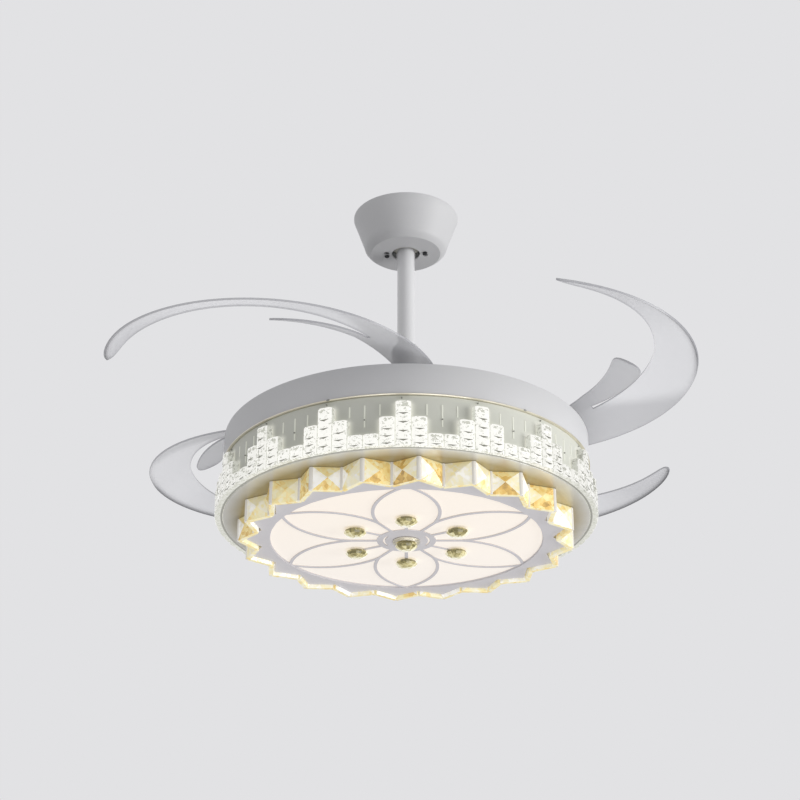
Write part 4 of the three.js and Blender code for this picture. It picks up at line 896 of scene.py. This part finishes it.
block_glass = cut_glass("clear_crystal", glass_white, 1.0, 0.0, 0.31)
top_glass = cut_glass("clear_crystal_top", glass_white, 0.0, 0.9, 0.31)
# Painted shade: a darker copy of the glass, with more grey facets, for the blocks' sides.
shaded_side_glass = cut_glass("clear_crystal_side_shaded", srgb(236, 237, 228), 0.0, 0.0, 0.46)
foot_glass = Finish("clear_crystal_foot", glass_white, 0.2, Emission_Strength=painted_glass_glow)
# The feet glow with painted light and are painted darker at the drum's sides. A grey line of painted shade
# runs in the gap at the plate's edge.
foot_gap_shade_radius = 0.2508
foot_side_shaded = foot_glass.mix(side_shade(foot_glass), srgb(246, 246, 240), srgb(216, 216, 208))
foot_tone = foot_glass.mix((cuts(foot_glass) < 0.45) * 0.8, foot_side_shaded, glass_grey)
foot_tone = foot_glass.mix(foot_glass.radius() < foot_gap_shade_radius, foot_tone, srgb(150, 149, 141))
foot_glass.set("Base Color", foot_glass.mix(glass_lit_share, black, foot_tone))
foot_glass.set("Emission Color", foot_tone)
skyline = bmesh.new()
for i in range(periods * columns_in_period):
    tall, blocks = pattern[i % columns_in_period]
    course = tall / blocks
    column = bmesh.new()
    bmesh.ops.create_cube(column, size=1)
    deep = skyline_radius - 1 - skyline_back
    bmesh.ops.scale(column, vec=(deep, column_width - column_gap, tall), verts=column.verts[:])
    shifted(column, (skyline_back + deep / 2, 0, skyline_foot + tall / 2))
    front_edges = [e for e in column.edges if all(v.co.x > skyline_radius - 2 for v in e.verts)
                   and abs(e.verts[0].co.z - e.verts[1].co.z) > 1]
    chamfer = column_width * (1 - face_share) / 2
    bmesh.ops.bevel(column, geom=front_edges, offset=chamfer, segments=1, affect="EDGES", profile=0.5,
                    offset_type="OFFSET")
    for k in range(1, blocks):
        parts = column.verts[:] + column.edges[:] + column.faces[:]
        level = skyline_foot + k * course
        bmesh.ops.bisect_plane(column, geom=parts, plane_co=(0, 0, level), plane_no=(0, 0, 1))
    column.normal_update()
    fronts = [face for face in column.faces if face.normal.x > 0.5]
    bmesh.ops.inset_individual(column, faces=fronts, thickness=block_border, depth=block_relief,
                               use_even_offset=True)
    column.normal_update()
    for face in column.faces:
        top_course = face.calc_center_median().z > skyline_foot + tall - course
        face.material_index = (1 if top_course else 0) if face.normal.x > 0.4 else 2
        if face.normal.z < -0.9:
            face.material_index = 3
    add_mesh(skyline, shifted(column, (0, 0, 0), skyline_start + i * column_turn))
piece("skyline_crystals", skyline, "hanging_body", [block_glass, top_glass, shaded_side_glass, foot_glass],
      ["skyline_crystals"], bevel=0.35, crease=20)


# ---- Bottom plate --------------------------------------------------------------------------
# A bright plated ring that closes the drum from below. Towards its inside it carries a painted
# reflection of the amber crystals and painted shade: darker and khaki nearest them.
plate_inside = 170
amber_reflection_shade_rate = 42
silver = Finish("silver_plate", srgb(224, 222, 214), 0.3, 0.4)
# Painted reflection and shade of the amber crystals, strongest nearest them.
amber_reflection_shade = ((wall_radius * MM - silver.radius()) * amber_reflection_shade_rate).limited()
amber_reflection_shade = amber_reflection_shade + (silver.noise(40) - 0.5) * 0.2
silver.set("Base Color", silver.shades(amber_reflection_shade, [srgb(228, 227, 221), srgb(168, 156, 122)]))
plate_profile = [(plate_inside, -479), (wall_radius, -479), (wall_radius, -477.5), (plate_inside, -477.5)]
piece("bottom_plate", lathe(plate_profile, 160), "hanging_body", [silver], ["bottom_plate"],
      bevel=0.3)


# ---- Amber crystals ------------------------------------------------------------------------
# A zigzag of forty square amber crystals, each face cut to a shallow pyramid, with a clear post
# at every corner.
amber_count = 40
amber_inner = 203
amber_outer = 224
amber_turn = radians(-86)
amber_top = -479.3
amber_height = 31.5
amber_middle = amber_top - amber_height / 2
amber_sheet = 6
amber_bulge = 4.5
amber_gap = 1.5
inner_post_out = 3.4


def painted_sparkle(name, colours, roughness, painted_glow, grain, unevenness):
    """Cut glass with painted sparkle: facets painted lighter and darker, finer painted glints inside
    each facet, and a painted glow in its own colour.
    """
    finish = Finish(name, colours[0], roughness, Coat_Weight=0.5, Coat_Roughness=0.03, Emission_Strength=painted_glow)
    uneven = finish.noise(grain, 3.0) * 2 + finish.cells(grain * 2) - 1.5
    value = finish.attribute("tone") + uneven * unevenness
    colour = finish.shades(value, colours)
    finish.set("Base Color", colour)
    finish.set("Emission Color", colour)
    return finish


# Tones of the painted sparkle, from deep amber to a white painted glint.
amber_sparkle_tones = [srgb(176, 142, 82), srgb(222, 184, 104), srgb(238, 213, 142), srgb(241, 230, 180),
               srgb(240, 234, 206), srgb(243, 239, 225), srgb(255, 254, 250)]
amber = painted_sparkle("amber_glass", amber_sparkle_tones, 0.12, 0.26, 85, 0.3)
# The posts glow with painted light.
post_glass = Finish("post_glass", srgb(208, 205, 199), 0.15, Emission_Color=srgb(216, 212, 204),
                    Emission_Strength=0.3, Coat_Weight=0.4)
crystals = bmesh.new()
tone = crystals.faces.layers.float.new("tone")
facet_sparkle_tones = (0.5, 0.76, 0.36, 0.92, 0.62)


def amber_angle(k):
    return amber_turn + tau * k / amber_count


def amber_corner(k, further_out=0.0, level=amber_middle):
    """A corner of the zigzag: every other one is an outer corner."""
    radius = amber_outer if k % 2 == 0 else amber_inner
    return round_at(radius + further_out, amber_angle(k), level)


for i in range(amber_count):
    ends = [amber_corner(i), amber_corner(i + 1)]
    along = ends[1] - ends[0]
    before = set(crystals.faces)
    block = bmesh.ops.create_cube(crystals, size=1)["verts"]
    bmesh.ops.scale(crystals, vec=(along.length - amber_gap, amber_sheet, amber_height), verts=block)
    shifted(crystals, (0, 0, 0), atan2(along.y, along.x), block)
    bmesh.ops.translate(crystals, verts=block, vec=(ends[0] + ends[1]) / 2)
    crystals.normal_update()
    across = Vector((along.y, -along.x, 0)).normalized()
    broad = []
    for face in crystals.faces:
        if face not in before:
            face[tone] = 0.5
            if abs(face.normal.dot(across)) > 0.9:
                broad.append(face)
    facets = bmesh.ops.poke(crystals, faces=broad, offset=amber_bulge)["faces"]
    # Each facet's tone is painted sparkle, lighter or darker at random; two crystals in every five are
    # painted paler.
    for k, face in enumerate(facets):
        jitter = ((i * 7 + k * 5 + 3 * (i % 3) * k) % 11) / 11 - 0.5
        paler = 0.2 if i % 5 in (1, 2) else 0
        face[tone] = between(facet_sparkle_tones[k % 5] + jitter * 0.5 + paler, 0.08, 1)
piece("amber_crystals", crystals, "hanging_body", [amber], ["amber_crystals"], crease=14)

posts = bmesh.new()
for i in range(amber_count):
    radius, further_out = (3.6, 0) if i % 2 == 0 else (2.6, inner_post_out)
    pin = peg(posts, radius, amber_height - 0.4, 20)
    bmesh.ops.translate(posts, verts=pin, vec=amber_corner(i, further_out))
piece("amber_posts", posts, "hanging_body", [post_glass])


# ---- Lamp tray and diffuser ----------------------------------------------------------------
# An upturned aluminium tray under the bottom plate holds the LED board. The opal disc below it
# spreads the light, which is slightly warmer towards the front.
dress(spun_aluminium, "lamp_tray")
opal = Finish("opal_acrylic", srgb(214, 208, 200), 0.6, Emission_Strength=0.4)
depth = opal.axes()[1]
opal.set("Emission Color", opal.shades(depth * 2.2 + 0.5, [srgb(255, 240, 222), srgb(250, 244, 238)]))
diffuser_profile = [(0, -503.2), (194, -503.2), (194, -500.7), (0, -500.7)]
piece("diffuser", lathe(diffuser_profile, 160, closed=False), "hanging_body", [opal],
      ["diffuser"])


# ---- Petal frame ---------------------------------------------------------------------------
# A cut and painted steel fretwork in front of the diffuser: a rim with a skirt and a zigzag lip
# between the amber crystals, six petals, spokes to the studs and a hub with two curved slots.
frame_foot = -505
frame_sheet = 1.5
frame_radius = 198
frame_window = 183
frame_skirt_top = -490.5
petals = 6
petal_tip = 184
petal_widest = 105
petal_half = 43.5
petal_join = 75
rib_width = 4.6
hub_radius = 40
eye_inner = 29
eye_outer = 31.5
eye_half_angle = 34
lip_clearance = 6.2
lip_sheet = 1.2
lip_inner = 184
lip_level = frame_foot - 0.1
rib_lift = 0.16
rib_stagger = 0.03
rib_sink = 0.1
spoke_lift = 0.24
spoke_sink = 0.2
stud_circle = 78.5


def arc_through(first, second, third, steps):
    """Points on the circle through three points, from the first to the third."""
    (ax, ay), (bx, by), (cx, cy) = first.xy, second.xy, third.xy
    d = 2 * (ax * (by - cy) + bx * (cy - ay) + cx * (ay - by))
    squares = [p.xy.length_squared for p in (first, second, third)]
    centre = Vector(((squares[0] * (by - cy) + squares[1] * (cy - ay) + squares[2] * (ay - by)) / d,
                     (squares[0] * (cx - bx) + squares[1] * (ax - cx) + squares[2] * (bx - ax)) / d, 0))
    radius = (first.xy - centre.xy).length
    start, middle, end = [atan2(p.y - centre.y, p.x - centre.x) for p in (first, second, third)]
    sweep = (end - start) % tau
    if (middle - start) % tau > sweep:
        sweep -= tau
    return [centre + round_at(radius, start + sweep * i / steps) for i in range(steps + 1)]


def ribbon(bm, line, width, low, high):
    """A flat bar of even width that follows a line of points."""
    steps = len(line) - 1
    strip = bmesh.ops.create_grid(bm, x_segments=steps, y_segments=1, size=1)["verts"]
    for vertex in strip:
        at = round((vertex.co.x + 1) / 2 * steps)
        ahead, behind = line[min(at + 1, steps)], line[max(at - 1, 0)]
        along = (ahead - behind).normalized()
        side = Vector((-along.y, along.x, 0)) * (width / 2 * vertex.co.y)
        vertex.co = Vector((line[at].x, line[at].y, low)) + side
    faces = {face for vertex in strip for face in vertex.link_faces}
    raise_faces(bm, list(faces), high - low)
    bmesh.ops.recalc_face_normals(bm, faces=bm.faces[:])


def in_eye(radius, angle):
    """Whether a place lies in one of the hub's two slots."""
    near = min(abs(angle), 180 - abs(angle))
    return eye_inner < radius < eye_outer and near < eye_half_angle


grey_frame = Finish("grey_frame", srgb(213, 210, 212), 0.45).speckle(0.03, 200)
rim_top = frame_foot + frame_sheet
rim_profile = [(frame_window, frame_foot), (frame_radius, frame_foot), (frame_radius, frame_skirt_top),
               (frame_radius - frame_sheet, frame_skirt_top), (frame_radius - frame_sheet, rim_top),
               (frame_window, rim_top)]
piece("petal_rim", lathe(rim_profile, 160), "hanging_body", [grey_frame], ["petal_frame"])
lip = bmesh.new()
inside = [lip.verts.new(round_at(lip_inner, amber_angle(k), lip_level)) for k in range(amber_count)]
outside = [lip.verts.new(amber_corner(k, -lip_clearance, lip_level)) for k in range(amber_count)]
for k in range(amber_count):
    after = (k + 1) % amber_count
    lip.faces.new((inside[k], inside[after], outside[after], outside[k]))
lip.normal_update()
bmesh.ops.solidify(lip, geom=lip.faces[:], thickness=-lip_sheet)
piece("petal_lip", lip, "hanging_body", [grey_frame], bevel=0.2)
hub = pierced_disc([0.01, eye_inner, eye_outer, hub_radius], 96, rim_top, frame_sheet - 0.1, in_eye)
piece("petal_hub", hub, "hanging_body", [grey_frame], bevel=0.3)
ribs = bmesh.new()
half_turn = pi / petals
for i in range(petals):
    axis = -pi / 2 + tau * i / petals
    for side in (-1, 1):
        low = frame_foot + rib_lift + rib_stagger * side
        tip = Matrix.Rotation(axis, 3, "Z") @ Vector((petal_tip + rib_width, -side * rib_width * 0.4, 0))
        widest = Matrix.Rotation(axis, 3, "Z") @ Vector((petal_widest, side * petal_half, 0))
        join = round_at(petal_join, axis + side * half_turn)
        ribbon(ribs, arc_through(tip, widest, join, 32), rib_width, low, rim_top - rib_sink)
    for start, turn in ((petal_join + 3, axis + half_turn), (stud_circle, axis)):
        spoke = [round_at(start, turn), round_at(hub_radius - 4, turn)]
        ribbon(ribs, spoke, rib_width, frame_foot + spoke_lift, rim_top - spoke_sink)
piece("petal_ribs", ribs, "hanging_body", [grey_frame], bevel=0.25)


# ---- Crystal studs and centre ornament -----------------------------------------------------
# Six round champagne crystals on the spokes, cut in facets, and a seventh on a stepped gilt ring
# in the middle.
stud_radius = 15
stud_profile = [(0, -9), (6.4, -9), (12.4, -6.2), (stud_radius, -3.4), (14.6, -1.4), (13.4, 0), (0, 0)]
stud_facets = 12
# Tones from painted shade to a white painted glint; the studs also glow with painted light.
champagne_sparkle_tones = [srgb(108, 102, 66), srgb(156, 146, 98), srgb(212, 203, 154), srgb(240, 236, 208),
                   srgb(253, 251, 242)]
champagne = painted_sparkle("champagne_glass", champagne_sparkle_tones, 0.08, 0.25, 200, 0.25)


def crystal_stud(name, place, seed):
    """A round crystal whose facets are painted darker towards the front as painted shade, and
    lighter towards the back up to a white painted glint.
    """
    stud = lathe(stud_profile, stud_facets, closed=False)
    bmesh.ops.remove_doubles(stud, verts=stud.verts[:], dist=weld_distance)
    stud_shade = stud.faces.layers.float.new("tone")
    stud.normal_update()
    for k, face in enumerate(stud.faces):
        middle = face.calc_center_median()
        jitter = ((k * 7 + seed * 3) % 13) / 13 - 0.5
        face[stud_shade] = between(0.77 + middle.y / stud_radius * 0.85 + jitter * 0.4, 0, 1)
    shifted(stud, place)
    piece(name, stud, "hanging_body", [champagne], [name], bevel=0.2, crease=12)


for i in range(petals):
    place = round_at(stud_circle, -pi / 2 + tau * i / petals, frame_foot - 0.3)
    crystal_stud(f"crystal_stud_{i + 1}", place, i)
ring_steps = [(0, -509.3), (16, -509.3), (16, -507.3), (18.5, -507.3), (18.5, -505.3), (0, -505.3)]
piece("centre_ring", lathe(ring_steps, 64, closed=False), "hanging_body", [gold],
      ["centre_ring"])
crystal_stud("centre_crystal", Vector((0, 0, -509.6)), petals)
